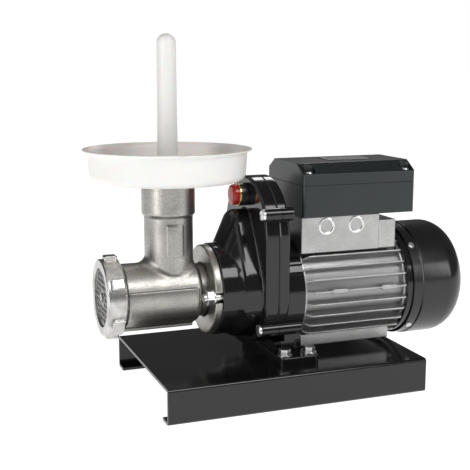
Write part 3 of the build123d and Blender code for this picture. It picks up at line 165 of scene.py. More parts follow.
class PaintShop:
    """A material under construction: one shader and the nodes that feed it."""

    def __init__(self, name: str) -> None:
        """Start a material.

        Args:
            name: Name of the material.
        """
        self.material = bpy.data.materials.new(name)
        self.material.use_nodes = True
        self.tree = self.material.node_tree
        self.tree.nodes.clear()
        shader = self.node("ShaderNodeBsdfPrincipled", {}, {})
        self.shader = shader.socket.node
        self.node("ShaderNodeOutputMaterial", {}, {"Surface": shader})
        self.place = self.node("ShaderNodeTexCoord", {}, {}).out("Object")
        self.xyz = self.node("ShaderNodeSeparateXYZ", {}, {"Vector": self.place})

    def node(self, kind: str, settings: dict, inputs: dict) -> Wire | None:
        """Add a node.

        Args:
            kind: Type name of the node.
            settings: Its properties, set first.
            inputs: A value or a wire for each socket, by name or number.

        Returns:
            The node's first output, if it has one.
        """
        made = self.tree.nodes.new(kind)
        for key, value in settings.items():
            setattr(made, key, value)
        for key, value in inputs.items():
            if isinstance(value, Wire):
                self.tree.links.new(value.socket, made.inputs[key])
            else:
                made.inputs[key].default_value = value
        return Wire(self, made.outputs[0]) if made.outputs else None

    def feed(self, name: str, value: "Wire | float | Colour") -> None:
        """Give the shader's socket a wire, or a value of its own.

        Args:
            name: Name of the shader's socket.
            value: The wire, number or colour.
        """
        socket = self.shader.inputs[name]
        if isinstance(value, Wire):
            self.tree.links.new(value.socket, socket)
        else:
            socket.default_value = (*value, 1.0) if isinstance(value, tuple) else value

    def noise(self, scale: float, detail: float = 3.0) -> Wire:
        """Return cloudy noise from 0 to 1.

        Args:
            scale: Size of the pattern, in patches a metre.
            detail: How many finer layers it holds.
        """
        return self.node("ShaderNodeTexNoise", {}, {"Vector": self.place, "Scale": scale, "Detail": detail})

    def speckle(self, scale: float) -> Wire:
        """Return the distance to the nearest of scattered points, for pits and grains."""
        return self.node("ShaderNodeTexVoronoi", {}, {"Vector": self.place, "Scale": scale})

    def radius(self, centre_z: float) -> Wire:
        """Return the distance from an axis along X at a height, both in metres."""
        across, up = self.xyz.out("Y"), self.xyz.out("Z") - centre_z
        return (across * across + up * up) ** 0.5

    def blend(self, share: Wire, first: "Wire | Colour", second: "Wire | Colour") -> Wire:
        """Return a colour between two.

        Args:
            share: How much of the second colour shows, from 0 to 1.
            first: Colour at 0.
            second: Colour at 1.
        """
        ends = [value if isinstance(value, Wire) else (*value, 1.0) for value in (first, second)]
        made = self.node("ShaderNodeMix", {"data_type": "RGBA"}, {0: share, 6: ends[0], 7: ends[1]})
        return Wire(self, made.socket.node.outputs[2])

    def relief(self, height: Wire, depth: float) -> None:
        """Raise the surface by a height from 0 to 1, of a depth in millimetres."""
        self.feed("Normal", self.node("ShaderNodeBump", {}, {"Height": height, "Distance": depth * MM}))


@dataclass(frozen=True)
class Finish:
    """A finish of one of the record's material slots.

    Attributes:
        slot: The record's slot.
        colour: Main colour, linear.
        second: Colour of its clouds or worn places, linear.
        rough: Roughness at its smoothest and roughest places.
    """

    slot: str
    colour: Colour
    second: Colour
    rough: tuple[float, float]

    def material(self) -> bpy.types.Material:
        """Return the finish as a material, made the first time that it is asked for."""
        name = f"{self.slot}_{type(self).__name__.lower()}"
        found = bpy.data.materials.get(name)
        if found:
            return found
        shop = PaintShop(name)
        self.dress(shop)
        return shop.material

    def dress(self, shop: PaintShop) -> None:
        """Build the finish's nodes. Each kind of finish has its own."""
        raise NotImplementedError

    def roughness(self, shop: PaintShop, share: Wire) -> None:
        """Spread the roughness between its two ends."""
        low, high = self.rough
        shop.feed("Roughness", low + share * (high - low))


@dataclass(frozen=True)
class Enamel(Finish):
    """Paint with a faint orange peel and uneven gloss; scales are those of its noises."""

    peel: float = 0.02
    scales: tuple[float, float, float] = (28.0, 260.0, 900.0)

    def dress(self, shop: PaintShop) -> None:
        """Build the paint."""
        broad, peel, gloss = self.scales
        cloud, skin = shop.noise(broad), shop.noise(peel, 2.0)
        shop.feed("Base Color", shop.blend(cloud, self.colour, self.second))
        self.roughness(shop, cloud * 0.7 + shop.noise(gloss, 2.0) * 0.3)
        shop.relief(skin, self.peel)


@dataclass(frozen=True)
class Moulding(Finish):
    """Moulded plastic with a fine spark-eroded grain."""

    grain: float = 0.05
    grain_scale: float = 900.0
    cloud_scale: float = 35.0

    def dress(self, shop: PaintShop) -> None:
        """Build the plastic."""
        cloud, grain = shop.noise(self.cloud_scale), shop.noise(self.grain_scale)
        shop.feed("Base Color", shop.blend(cloud * 0.6 + grain * 0.4, self.colour, self.second))
        self.roughness(shop, grain)
        shop.relief(grain, self.grain)


@dataclass(frozen=True)
class Milky(Finish):
    """Translucent food-grade plastic."""

    scatter: tuple[float, float] = (0.35, 0.004)
    scales: tuple[float, float, float] = (22.0, 120.0, 420.0)

    def dress(self, shop: PaintShop) -> None:
        """Build the plastic."""
        broad, gloss, skin = self.scales
        share, depth = self.scatter
        shop.feed("Base Color", shop.blend(shop.noise(broad), self.colour, self.second))
        self.roughness(shop, shop.noise(gloss))
        shop.feed("Subsurface Weight", share)
        shop.feed("Subsurface Scale", depth)
        shop.relief(shop.noise(skin, 2.0), 0.015)


@dataclass(frozen=True)
class Casting(Finish):
    """Cast metal: a grainy skin with duller pits, with painted shade in its creases and at the roots of its
    ribs.
    """

    grain: float = 0.16
    metallic: float = 0.85
    # Colour of the painted shade in creases and at the roots of ribs
    dirt: Colour = (0.16, 0.16, 0.155)
    root: float = 0.0
    tip: float = 0.0
    creased: bool = False
    scales: tuple[float, float] = (70.0, 950.0)

    def dress(self, shop: PaintShop) -> None:
        """Build the cast skin."""
        coarse, fine = shop.noise(self.scales[0], 2.0), shop.noise(self.scales[1], 4.0)
        tone = (coarse * 0.3 + fine * 0.7).share(0.36, 0.62)
        colour = shop.blend(tone, self.second, self.colour)
        if self.creased:
            # Painted shade: concave creases, found by pointiness, are darkened towards the painted-shade
            # colour; convex edges are lightened to the main colour as wear.
            crease = shop.node("ShaderNodeNewGeometry", {}, {}).out("Pointiness")
            colour = shop.blend(crease.share(0.497, 0.478), colour, self.dirt)
            colour = shop.blend(crease.share(0.51, 0.55) * 0.6, colour, self.colour)
        if self.tip:
            # Painted shade: the colour darkens near the shell, at the roots of the fins, and clears towards
            # their tips.
            depth = shop.radius(MOTOR_Z * MM).share(self.root * MM, self.tip * MM)
            colour = shop.blend(depth, self.dirt, colour)
        shop.feed("Base Color", colour)
        shop.feed("Metallic", self.metallic)
        self.roughness(shop, 1.0 - tone * 0.8)
        shop.relief(fine, self.grain)


@dataclass(frozen=True)
class Turned(Finish):
    """Bright metal turned on a lathe about the shaft of the head."""

    pitch: float = 1.1
    cut: float = 0.012
    scales: tuple[float, float] = (60.0, 130.0)

    def dress(self, shop: PaintShop) -> None:
        """Build the turned metal."""
        waver, stain = shop.noise(self.scales[0]), shop.noise(self.scales[1], 4.0)
        rings = (shop.radius(OUTPUT_Z * MM) * (2 * pi / (self.pitch * MM)) + waver * 3.0).sine()
        shop.feed("Base Color", shop.blend(stain.share(0.35, 0.7), self.colour, self.second))
        shop.feed("Metallic", 1.0)
        self.roughness(shop, stain)
        shop.relief(rings * 0.5 + 0.5, self.cut)


@dataclass(frozen=True)
class Plated(Finish):
    """Plated or polished metal with a soft mottle and handling marks."""

    scales: tuple[float, float] = (320.0, 700.0)

    def dress(self, shop: PaintShop) -> None:
        """Build the plated metal."""
        mottle = shop.noise(self.scales[0])
        marks = shop.speckle(self.scales[1]).share(0.0, 0.25)
        shop.feed("Base Color", shop.blend(mottle, self.colour, self.second))
        shop.feed("Metallic", 1.0)
        self.roughness(shop, mottle * 0.6 + marks * 0.4)
        shop.relief(mottle, 0.02)


@dataclass(frozen=True)
class Striped(Finish):
    """Stacked sheets or wound wire, as fine lines across an axis."""

    axis: Axis = Axis.X
    pitch: float = 0.9
    metallic: float = 0.9

    def dress(self, shop: PaintShop) -> None:
        """Build the stripes."""
        line = (shop.xyz.out(self.axis.name) * (2 * pi / (self.pitch * MM))).sine() * 0.5 + 0.5
        shop.feed("Base Color", shop.blend(line, self.second, self.colour))
        shop.feed("Metallic", self.metallic)
        self.roughness(shop, line)
        shop.relief(line, 0.1)


@dataclass(frozen=True)
class RatingPlate(Finish):
    """A blank rating plate: bright lines round an empty dark panel, with no lettering.

    Attributes:
        centre: Middle of the plate.
        half: Half its length and half its width.
        margin: Dark edge outside the frame.
        line: Width of the frame.
        bar: Distance of the bars from the middle, and half their width.
    """

    centre: tuple[float, float] = (0.0, 0.0)
    half: tuple[float, float] = (10.0, 10.0)
    margin: float = 1.6
    line: float = 1.8
    bar: tuple[float, float] = (4.6, 1.3)

    def dress(self, shop: PaintShop) -> None:
        """Build the plate: an outer frame and plain bars that divide it."""
        across = abs(shop.xyz.out("X") - self.centre[0] * MM)
        along = abs(shop.xyz.out("Y") - self.centre[1] * MM)
        edge_x, edge_y = (size - self.margin for size in self.half)
        inside = (1.0 - across.above(edge_x * MM)) * (1.0 - along.above(edge_y * MM))
        deep_x, deep_y = (edge_x - self.line) * MM, (edge_y - self.line) * MM
        deep = (1.0 - across.above(deep_x)) * (1.0 - along.above(deep_y))
        lines = inside - deep
        middle, half = self.bar
        bars = (1.0 - abs(along - middle * MM).above(half * MM)) * deep
        wear = shop.noise(240.0, 4.0).share(0.3, 0.75)
        mark = (lines + bars) * (0.75 + wear * 0.25)
        shop.feed("Base Color", shop.blend(mark, self.colour, self.second))
        shop.feed("Metallic", 0.2)
        self.roughness(shop, wear)
        shop.relief(mark, 0.05)


GEARBOX_PAINT = Enamel("gearbox_paint", (0.006, 0.0062, 0.0065), (0.010, 0.0102, 0.0108), (0.07, 0.15), 0.03)
BASE_PAINT = Enamel("base_paint", (0.006, 0.006, 0.0062), (0.010, 0.010, 0.0104), (0.10, 0.20), 0.015)
COVER_PAINT = Enamel("cover_paint", (0.008, 0.008, 0.0085), (0.013, 0.013, 0.0135), (0.16, 0.28), 0.02)
BOX_PLASTIC = Moulding("box_plastic", (0.010, 0.0140, 0.0142), (0.015, 0.0205, 0.0208), (0.26, 0.38),
                       0.05, 520.0)
BLACK_PLASTIC = Moulding("black_plastic", (0.012, 0.012, 0.012), (0.018, 0.018, 0.018), (0.22, 0.34), 0.03)
RED_PLASTIC = Moulding("red_plastic", (0.42, 0.016, 0.012), (0.33, 0.012, 0.010), (0.16, 0.26), 0.01)
CERAMIC = Moulding("ceramic", (0.72, 0.69, 0.62), (0.60, 0.57, 0.50), (0.35, 0.5), 0.04)
PAPER = Moulding("gasket_paper", (0.045, 0.044, 0.04), (0.03, 0.03, 0.028), (0.7, 0.9), 0.08, 700.0)
WHITE_PLASTIC = Milky("white_plastic", (0.85, 0.842, 0.82), (0.80, 0.792, 0.77), (0.28, 0.42))
# The third colour of each casting below is its painted shade, for creases and fin roots.
ALUMINIUM = Casting("cast_aluminium", (0.50, 0.50, 0.495), (0.37, 0.37, 0.365), (0.26, 0.42), 0.07, 0.9,
                    (0.30, 0.30, 0.30), 44.0, 48.0)
TINNED_IRON = Casting("tinned_iron", (0.44, 0.425, 0.395), (0.29, 0.28, 0.26), (0.24, 0.42), 0.12, 0.95,
                      (0.10, 0.095, 0.085), 0.0, 0.0, True)
BRIGHT_IRON = Turned("bright_iron", (0.62, 0.615, 0.60), (0.42, 0.415, 0.40), (0.20, 0.40))
PLATE_STEEL = Plated("plate_steel", (0.40, 0.40, 0.395), (0.30, 0.30, 0.295), (0.42, 0.60))
ZINC = Plated("zinc", (0.84, 0.84, 0.83), (0.66, 0.665, 0.67), (0.16, 0.34))
STEEL = Plated("steel", (0.60, 0.60, 0.61), (0.48, 0.48, 0.49), (0.22, 0.40))
BRONZE = Plated("bronze", (0.55, 0.36, 0.17), (0.42, 0.27, 0.12), (0.35, 0.5))
BRASS = Plated("brass", (0.80, 0.60, 0.30), (0.66, 0.48, 0.22), (0.14, 0.28))
LAMINATION = Striped("lamination", (0.34, 0.34, 0.35), (0.20, 0.20, 0.21), (0.35, 0.55))
COPPER = Striped("copper", (0.66, 0.27, 0.12), (0.40, 0.14, 0.06), (0.25, 0.45), Axis.X, 1.4)


# Shapes


class Form:
    """A mesh being shaped, in millimetres, until it becomes a finished piece."""

    def __init__(self) -> None:
        """Start an empty form."""
        self.bm = bmesh.new()

    @classmethod
    def lathe(cls, outline: Sequence[Corner], along: Axis, centre: Point = (0.0, 0.0, 0.0),
              steps: int = 96, closed: bool = True) -> "Form":
        """Spin an outline about an axis.

        Args:
            outline: Corners as (radius, height) or (radius, height, rounding).
            along: Axis of the lathe.
            centre: Point that the axis passes through; heights are measured from it.
            steps: Number of steps round the axis.
            closed: Whether the last corner joins the first.

        Returns:
            The turned form.
        """
        form = cls()
        places = {
            Axis.X: lambda r, h: (h, 0.0, r),
            Axis.Y: lambda r, h: (r, h, 0.0),
            Axis.Z: lambda r, h: (r, 0.0, h),
        }
        corners = [form.bm.verts.new(places[along](*corner[:2])) for corner in outline]
        pairs = list(zip(corners, corners[1:])) + ([(corners[-1], corners[0])] if closed else [])
        for pair in pairs:
            form.bm.edges.new(pair)
        for vert, corner in zip(corners, outline):
            if len(corner) > 2:
                form._round_corner(vert, corner[2])
        bmesh.ops.spin(form.bm, geom=form.bm.verts[:] + form.bm.edges[:], cent=(0, 0, 0), axis=along.unit(),
                       dvec=(0, 0, 0), angle=2 * pi, steps=steps, use_merge=True, use_normal_flip=False,
                       use_duplicate=False)
        return form.tidied().moved(*centre)

    def _round_corner(self, vert: bmesh.types.BMVert, radius: float) -> None:
        """Round a corner of an outline.

        Args:
            vert: Corner between two edges.
            radius: Radius of the rounding.
        """
        ends = [edge.other_vert(vert).co - vert.co for edge in vert.link_edges]
        reach = radius / tan(ends[0].angle(ends[1]) / 2)
        bmesh.ops.bevel(self.bm, geom=[vert], offset=reach, offset_type="OFFSET", affect="VERTICES",
                        segments=max(3, int(radius * 1.2)), profile=0.5, material=-1)

    @classmethod
    def slab(cls, outline: Sequence[tuple[float, float]], low: float, high: float, along: Axis) -> "Form":
        """Extrude an outline.

        Args:
            outline: Corners in the plane across the axis, in the order of the other two axes.
            low: Start along the axis.
            high: End along the axis.
            along: Axis of the extrusion.

        Returns:
            The extruded form.
        """
        form = cls()
        place = {
            Axis.X: lambda a, b: (low, a, b),
            Axis.Y: lambda a, b: (a, low, b),
            Axis.Z: lambda a, b: (a, b, low),
        }
        face = form.bm.faces.new([form.bm.verts.new(place[along](*corner)) for corner in outline])
        grown = bmesh.ops.extrude_face_region(form.bm, geom=[face])
        step = along.unit() * (high - low)
        moved = [item for item in grown["geom"] if isinstance(item, bmesh.types.BMVert)]
        bmesh.ops.translate(form.bm, verts=moved, vec=step)
        return form.tidied()

    @classmethod
    def block(cls, low: Point, high: Point) -> "Form":
        """Make a box between two corners."""
        form = cls()
        bmesh.ops.create_cube(form.bm, size=1.0)
        size = [b - a for a, b in zip(low, high)]
        bmesh.ops.scale(form.bm, verts=form.bm.verts, vec=size)
        return form.moved(*[(a + b) / 2 for a, b in zip(low, high)])

    @classmethod
    def rod(cls, radius: float, low: float, high: float, along: Axis, centre: Point, sides: int) -> "Form":
        """Make a round or many-sided bar.

        Args:
            radius: Its radius; for six sides, across the corners.
            low: Start along the axis.
            high: End along the axis.
            along: Axis of the bar.
            centre: Point on its axis, where its value along the axis is ignored.
            sides: Number of sides.

        Returns:
            The bar.
        """
        form = cls()
        bmesh.ops.create_cone(form.bm, cap_ends=True, segments=sides, radius1=radius, radius2=radius,
                              depth=high - low)
        place = list(centre)
        place[along.value] = (low + high) / 2
        if along is not Axis.Z:
            form.turned(90.0, Axis.Y if along is Axis.X else Axis.X)
        return form.moved(*place)

    def tidied(self) -> "Form":
        """Merge doubled points and turn the faces outwards."""
        bmesh.ops.remove_doubles(self.bm, verts=self.bm.verts, dist=DOUBLED)
        bmesh.ops.dissolve_degenerate(self.bm, edges=self.bm.edges, dist=DOUBLED / 2)
        bmesh.ops.recalc_face_normals(self.bm, faces=self.bm.faces)
        return self

    def moved(self, x: float, y: float, z: float) -> "Form":
        """Move the whole form."""
        bmesh.ops.translate(self.bm, verts=self.bm.verts, vec=(x, y, z))
        return self

    def turned(self, degrees: float, about: Axis, centre: Point = (0.0, 0.0, 0.0)) -> "Form":
        """Turn the whole form about an axis through a point."""
        matrix = Matrix.Rotation(radians(degrees), 3, about.name)
        bmesh.ops.rotate(self.bm, verts=self.bm.verts, cent=centre, matrix=matrix)
        return self

    def mirrored(self) -> "Form":
        """Mirror the whole form from one side of the machine to the other."""
        bmesh.ops.scale(self.bm, verts=self.bm.verts, vec=(1, -1, 1))
        bmesh.ops.reverse_faces(self.bm, faces=self.bm.faces)
        return self

    def softened(self, width: float, segments: int = 3,
                 where: Callable[[Vector], bool] | None = None) -> "Form":
        """Round the sharp edges.

        Args:
            width: Width of the rounding.
            segments: Steps across it.
            where: Test of an edge's middle, if only some edges are rounded.

        Returns:
            The form itself.
        """
        self.bm.normal_update()
        sharp = [
            edge for edge in self.bm.edges
            if len(edge.link_faces) == 2 and edge.calc_face_angle(0.0) > SHARP
            and (where is None or where((edge.verts[0].co + edge.verts[1].co) / 2))
        ]
        bmesh.ops.bevel(self.bm, geom=sharp, offset=width, offset_type="OFFSET", affect="EDGES",
                        segments=segments, profile=0.5, material=-1, clamp_overlap=True)
        return self

    def paired(self) -> "Form":
        """Add the same shape on the other side of the machine."""
        self += self.copy().mirrored()
        return self

    def copy(self) -> "Form":
        """Return a second form of the same shape."""
        twin = Form()
        twin.bm.free()
        twin.bm = self.bm.copy()
        return twin

    def __iadd__(self, other: "Form") -> "Form":
        """Take in another form."""
        mesh = bpy.data.meshes.new("part")
        other.bm.to_mesh(mesh)
        self.bm.from_mesh(mesh)
        bpy.data.meshes.remove(mesh)
        other.bm.free()
        return self

    def piece(self, name: str, finish: Finish, body: Body, *replaced: str,
              flat: float = 32.0) -> bpy.types.Object:
        """Finish the form as a piece of the machine.

        Args:
            name: Name of the piece.
            finish: What it is made of.
            body: Body that it rides on.
            replaced: CAD nodes that it stands for.
            flat: Turn in degrees from which an edge is shaded sharp.

        Returns:
            The finished object.
        """
        bmesh.ops.scale(self.bm, verts=self.bm.verts, vec=(MM, MM, MM))
        mesh = bpy.data.meshes.new(name)
        self.bm.to_mesh(mesh)
        self.bm.free()
        mesh.shade_smooth()
        mesh.set_sharp_from_angle(angle=radians(flat))
        mesh.materials.append(finish.material())
        made = bpy.data.objects.new(name, mesh)
        bpy.context.scene.collection.objects.link(made)
        weighted = made.modifiers.new("even_shading", "WEIGHTED_NORMAL")
        weighted.keep_sharp = True
        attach(made, body.value)
        if replaced:
            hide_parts(*replaced)
        LOG.info("%s: %d faces", name, len(mesh.polygons))
        return made


def hexagon_corner(flats: float) -> float:
    """Return a hexagon's radius to its corners, from its size across the flats."""
    return flats / 2 / cos(pi / HEXAGON)


def slotted_head(radius: float, height: float, along: Axis, centre: Point, slot: float) -> Form:
    """Make a domed screw head with a slot, standing on a plane.

    Args:
        radius: Radius of the head.
        height: Height of the dome, towards the axis' positive end.
        along: Axis of the screw.
        centre: Middle of the head's seat.
        slot: Width of the slot.

    Returns:
        The head, as two half domes with the slot between them on a low disc.
    """
    floor, steps = 0.45 * height, 32
    head = Form.lathe([(0.0, 0.0), (radius, 0.0), (radius, floor), (0.0, floor)], along, steps=steps)
    across = {Axis.X: Axis.Z, Axis.Y: Axis.X, Axis.Z: Axis.Y}[along]
    outline = [(0.0, floor), (radius, floor), (radius, height, 0.5 * height), (0.0, height)]
    dome = Form.lathe(outline, along, steps=steps)
    normal = across.unit()
    for side in (1.0, -1.0):
        half = dome.copy()
        geom = half.bm.verts[:] + half.bm.edges[:] + half.bm.faces[:]
        bmesh.ops.bisect_plane(half.bm, geom=geom, plane_co=normal * side * slot / 2, plane_no=normal * side,
                               clear_inner=True)
        rim = [edge for edge in half.bm.edges if edge.is_boundary]
        bmesh.ops.holes_fill(half.bm, edges=rim)
        head += half.tidied()
    dome.bm.free()
    return head.moved(*centre)


@dataclass
class Hopper:
    """Feed pan and pusher, above the feed tube.

    Attributes:
        floor_z: Underside of the pan.
        rim_z: Top of its lip.
        rim: Radius of the lip.
        wall: Radius of the wall at its foot and under the lip.
        sheet: Wall thickness.
        corner: Outer rounding at the wall's foot and under the lip.
        spout: Outer radius, bore radius and foot of the spout.
        ram: Radius, foot and top of the pusher's ram.
        handle: Radius of the handle at its foot and under its domed end.
        stop: Radius, low face and thickness of the pusher's stop.
        top_z: Top of the handle.
        flat: Turn in degrees from which an edge of both is shaded sharp.
    """

    floor_z: float = 193.9
    rim_z: float = 221.8
    rim: float = 74.6
    wall: tuple[float, float] = (68.4, 70.2)
    sheet: float = 2.0
    corner: tuple[float, float] = (7.0, 3.0)
    spout: tuple[float, float, float] = (18.2, 16.2, 166.0)
    ram: tuple[float, float, float] = (15.4, 146.0, 184.0)
    handle: tuple[float, float] = (9.2, 8.2)
    stop: tuple[float, float, float] = (19.5, 195.92, 3.0)
    top_z: float = 320.5
    flat: float = 50.0

    def build(self) -> None:
        """Make both pieces."""
        self.pan()
        self.pusher()

    def pan(self) -> None:
        """Make the pan: spout, rounded foot, tapered wall and thin flared lip."""
        (low, high), (foot_round, lip_round), sheet, lip = self.wall, self.corner, self.sheet, self.rim_z
        outer, bore, foot = self.spout
        floor = self.floor_z + sheet
        outline = [
            (bore, floor, 0.9), (bore, foot, 0.4), (outer, foot, 0.5), (outer, self.floor_z),
            (low, self.floor_z, foot_round), (high, lip - sheet, lip_round),
            (self.rim, lip - 0.9, 0.4), (self.rim - 0.3, lip, 0.3), (self.rim - 2.8, lip, 0.8),
            (high - sheet, lip - 3.2, 2.4), (low - sheet, floor, foot_round - sheet),
        ]
        Form.lathe(outline, Axis.Z, (TUBE_X, 0.0, 0.0), 160).piece(
            "feed_pan_shell", WHITE_PLASTIC, Body.PAN, "feed_pan", flat=self.flat)

    def pusher(self) -> None:
        """Make the pusher: ram, stop flange and tapered handle with a domed end."""
        radius, foot, top = self.ram
        broad, slim = self.handle
        stop, stop_low, thick = self.stop
        outline = [
            (0.0, self.top_z), (slim, self.top_z, slim - 0.3), (broad, stop_low + thick + 2.0, 1.2),
            (broad + 2.4, stop_low + thick, 0.8), (stop, stop_low + thick, 0.9), (stop, stop_low, 0.9),
            (radius - 2, stop_low, 0.4), (radius - 2, top + 2, 0.4), (radius, top, 0.4),
            (radius, foot, 1.2), (0.0, foot),
        ]
        Form.lathe(outline, Axis.Z, (TUBE_X, 0.0, 0.0), 72, closed=False).piece(
            "pusher_handle", WHITE_PLASTIC, Body.PUSHER, "pusher", flat=self.flat)


@dataclass
class GrinderHead:
    """Cast head with its ring nut and stud nuts.

    Attributes:
        nodes: CAD nodes of the casting.
        seam_z: Height at which they meet.
        seam_reach: Half width of the faces where they meet.
        grain: Cell of the mesh that rounds the casting over.
        passes: Smoothing passes over that mesh.
        ring: Low end, high end, rim radius, mouth radius and bore of the ring nut.
        face_depth: Depth of its clamping face behind the mouth.
        lug: Tip radius, half width, and set-back of its lugs from each end.
        lugs: Number of lugs.
        nut: Across-flats size, low end and high end of a stud nut.
        collar: Radius of its collar.
        stud_y: Distance of the studs from the middle.
    """

    nodes: tuple[str, str] = ("grinder_body", "feed_tube")
    seam_z: float = 124.0
    seam_reach: float = 32.0
    grain: float = 0.75
    passes: int = 2
    ring: tuple[float, float, float, float, float] = (-167.1, -150.9, 34.0, 25.85, 30.8)
    face_depth: float = 1.95
    lug: tuple[float, float, float, float] = (37.5, 5.1, 3.4, 1.0)
    lugs: int = 6
    nut: tuple[float, float, float] = (13.0, -80.4, -74.4)
    collar: float = 7.4
    stud_y: float = 34.0

    def build(self) -> None:
        """Make the head's pieces."""
        self.casting()
        self.ring_nut()
        self.nuts()

    def casting(self) -> None:
        """Round the head's casting over, edges and inner corners alike."""
        form = Form()
        for name in self.nodes:
            form.bm.from_mesh(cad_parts[name].data)
        bmesh.ops.scale(form.bm, verts=form.bm.verts, vec=(1 / MM,) * 3)
        near = 5 * DOUBLED
        seam = [
            face for face in form.bm.faces
            if all(abs(vert.co.z - self.seam_z) < near for vert in face.verts)
            and abs(face.calc_center_median().x - TUBE_X) < self.seam_reach
        ]
        bmesh.ops.delete(form.bm, geom=seam, context="FACES")
        bmesh.ops.remove_doubles(form.bm, verts=form.bm.verts, dist=near)
        mesh = bpy.data.meshes.new("casting")
        form.bm.to_mesh(mesh)
        rough = bpy.data.objects.new("casting", mesh)
        bpy.context.scene.collection.objects.link(rough)
        cells = rough.modifiers.new("cells", "REMESH")
        cells.mode, cells.voxel_size = "VOXEL", self.grain
        bpy.context.view_layer.update()
        made = bpy.data.meshes.new_from_object(rough.evaluated_get(bpy.context.evaluated_depsgraph_get()))
        bpy.data.objects.remove(rough)
        skin = Form()
        skin.bm.from_mesh(made)
        bpy.data.meshes.remove(made)
        form.bm.free()
        for _ in range(self.passes):
            bmesh.ops.smooth_vert(skin.bm, verts=skin.bm.verts, factor=0.5,
                                  use_axis_x=True, use_axis_y=True, use_axis_z=True)
        skin.piece("grinder_casting", TINNED_IRON, Body.FRAME, *self.nodes, flat=75.0)

    def ring_nut(self) -> None:
        """Make the ring nut: bored ring with six rounded grip lugs."""
        low, high, rim, mouth, bore = self.ring
        face = low + self.face_depth
        centre = (0.0, 0.0, OUTPUT_Z)
        outline = [
            (mouth, low, 0.6), (rim, low, 1.5), (rim, high, 0.8), (bore, high, 0.4),
            (bore, face), (mouth, face),
        ]
        ring = Form.lathe(outline, Axis.X, centre, 144)
        tip, half, front, rear = self.lug
        for k in range(self.lugs):
            lug = Form.block((low + front, -half, rim - 3.0), (high - rear, half, tip)).softened(1.6, 4)
            ring += lug.moved(*centre).turned(360.0 / self.lugs * k, Axis.X, centre)
        ring.piece("ring_nut_turned", BRIGHT_IRON, Body.RING_NUT, "ring_nut")

    def nuts(self) -> None:
        """Make the two stud nuts: chamfered hexagons on round collars."""
        flats, low, high = self.nut
        nuts = Form()
        for side in (-1.0, 1.0):
            centre = (0.0, side * self.stud_y, OUTPUT_Z)
            nuts += Form.rod(hexagon_corner(flats), low, high, Axis.X, centre, HEXAGON).softened(0.7)
            nuts += Form.rod(self.collar, high - 0.4, high + 1.0, Axis.X, centre, 40).softened(0.3, 2)
        nuts.piece("stud_nuts", ZINC, Body.FRAME, "grinder_nuts")


@dataclass
class Gearbox:
    """Screws and push button of the gearbox.

    Attributes:
        screws: Places (x, y, z) of the screws' seats.
        screw: Radius, height and slot of a screw head.
        button_z: Height of the button.
        cap: Low end, high end and radius of the red cap.
        stem: Radius and end of its stem.
        bezel: Inner radius, outer radius, low end and high end of the black boss.
        brass: Low end and high end of the brass ring.
    """

    screws: tuple[Point, ...] = (
        (-33.4, -52.0, 166.0), (-33.4, 57.0, 130.0), (-34.4, -46.5, 61.7), (-34.4, 46.5, 61.7))
    screw: tuple[float, float, float] = (5.2, 2.4, 1.3)
    button_z: float = 178.0
    cap: tuple[float, float, float] = (-45.2, -35.0, 9.4)
    stem: tuple[float, float] = (2.6, -31.1)
    bezel: tuple[float, float, float, float] = (9.5, 10.4, -37.7, -30.9)
    brass: tuple[float, float] = (-39.0, -37.7)

    def build(self) -> None:
        """Make the screws and the button."""
        self.cover_screws()
        self.button()

    def cover_screws(self) -> None:
        """Make the four slotted screws."""
        radius, height, slot = self.screw
        screws = Form()
        for place in self.screws:
            head = slotted_head(radius, height, Axis.X, (0.0, 0.0, 0.0), slot).turned(180.0, Axis.Z)
            turn = place[2]  # the slots lie at unlike angles
            screws += head.turned(turn, Axis.X).moved(*place)
        screws.piece("cover_screws", ZINC, Body.FRAME, "gearbox_screws")

    def button(self) -> None:
        """Make the red cap, its brass ring and its black boss."""
        low, high, radius = self.cap
        stem, stem_end = self.stem
        centre, steps = (0.0, 0.0, self.button_z), 64
        cap = [(0.0, low), (radius, low, 2.6), (radius, high, 0.4), (stem, high),
               (stem, stem_end), (0.0, stem_end)]
        Form.lathe(cap, Axis.X, centre, steps, closed=False).piece(
            "red_cap", RED_PLASTIC, Body.BUTTON, "red_button")
        inner, outer, front, rear = self.bezel
        guide = stem + 0.1
        boss = [(inner, front), (outer, front), (outer, rear), (guide, rear), (guide, rear - 1),
                (inner, rear - 1)]
        Form.lathe(boss, Axis.X, centre, steps).softened(0.3, 2).piece(
            "button_boss", BLACK_PLASTIC, Body.FRAME, "button_bezel")
        mouth, seat = self.brass
        ring = [(inner, mouth, 0.3), (outer, mouth, 0.45), (outer, seat), (inner, seat)]
        Form.lathe(ring, Axis.X, centre, steps).piece("brass_ring", BRASS, Body.FRAME, "button_ring")


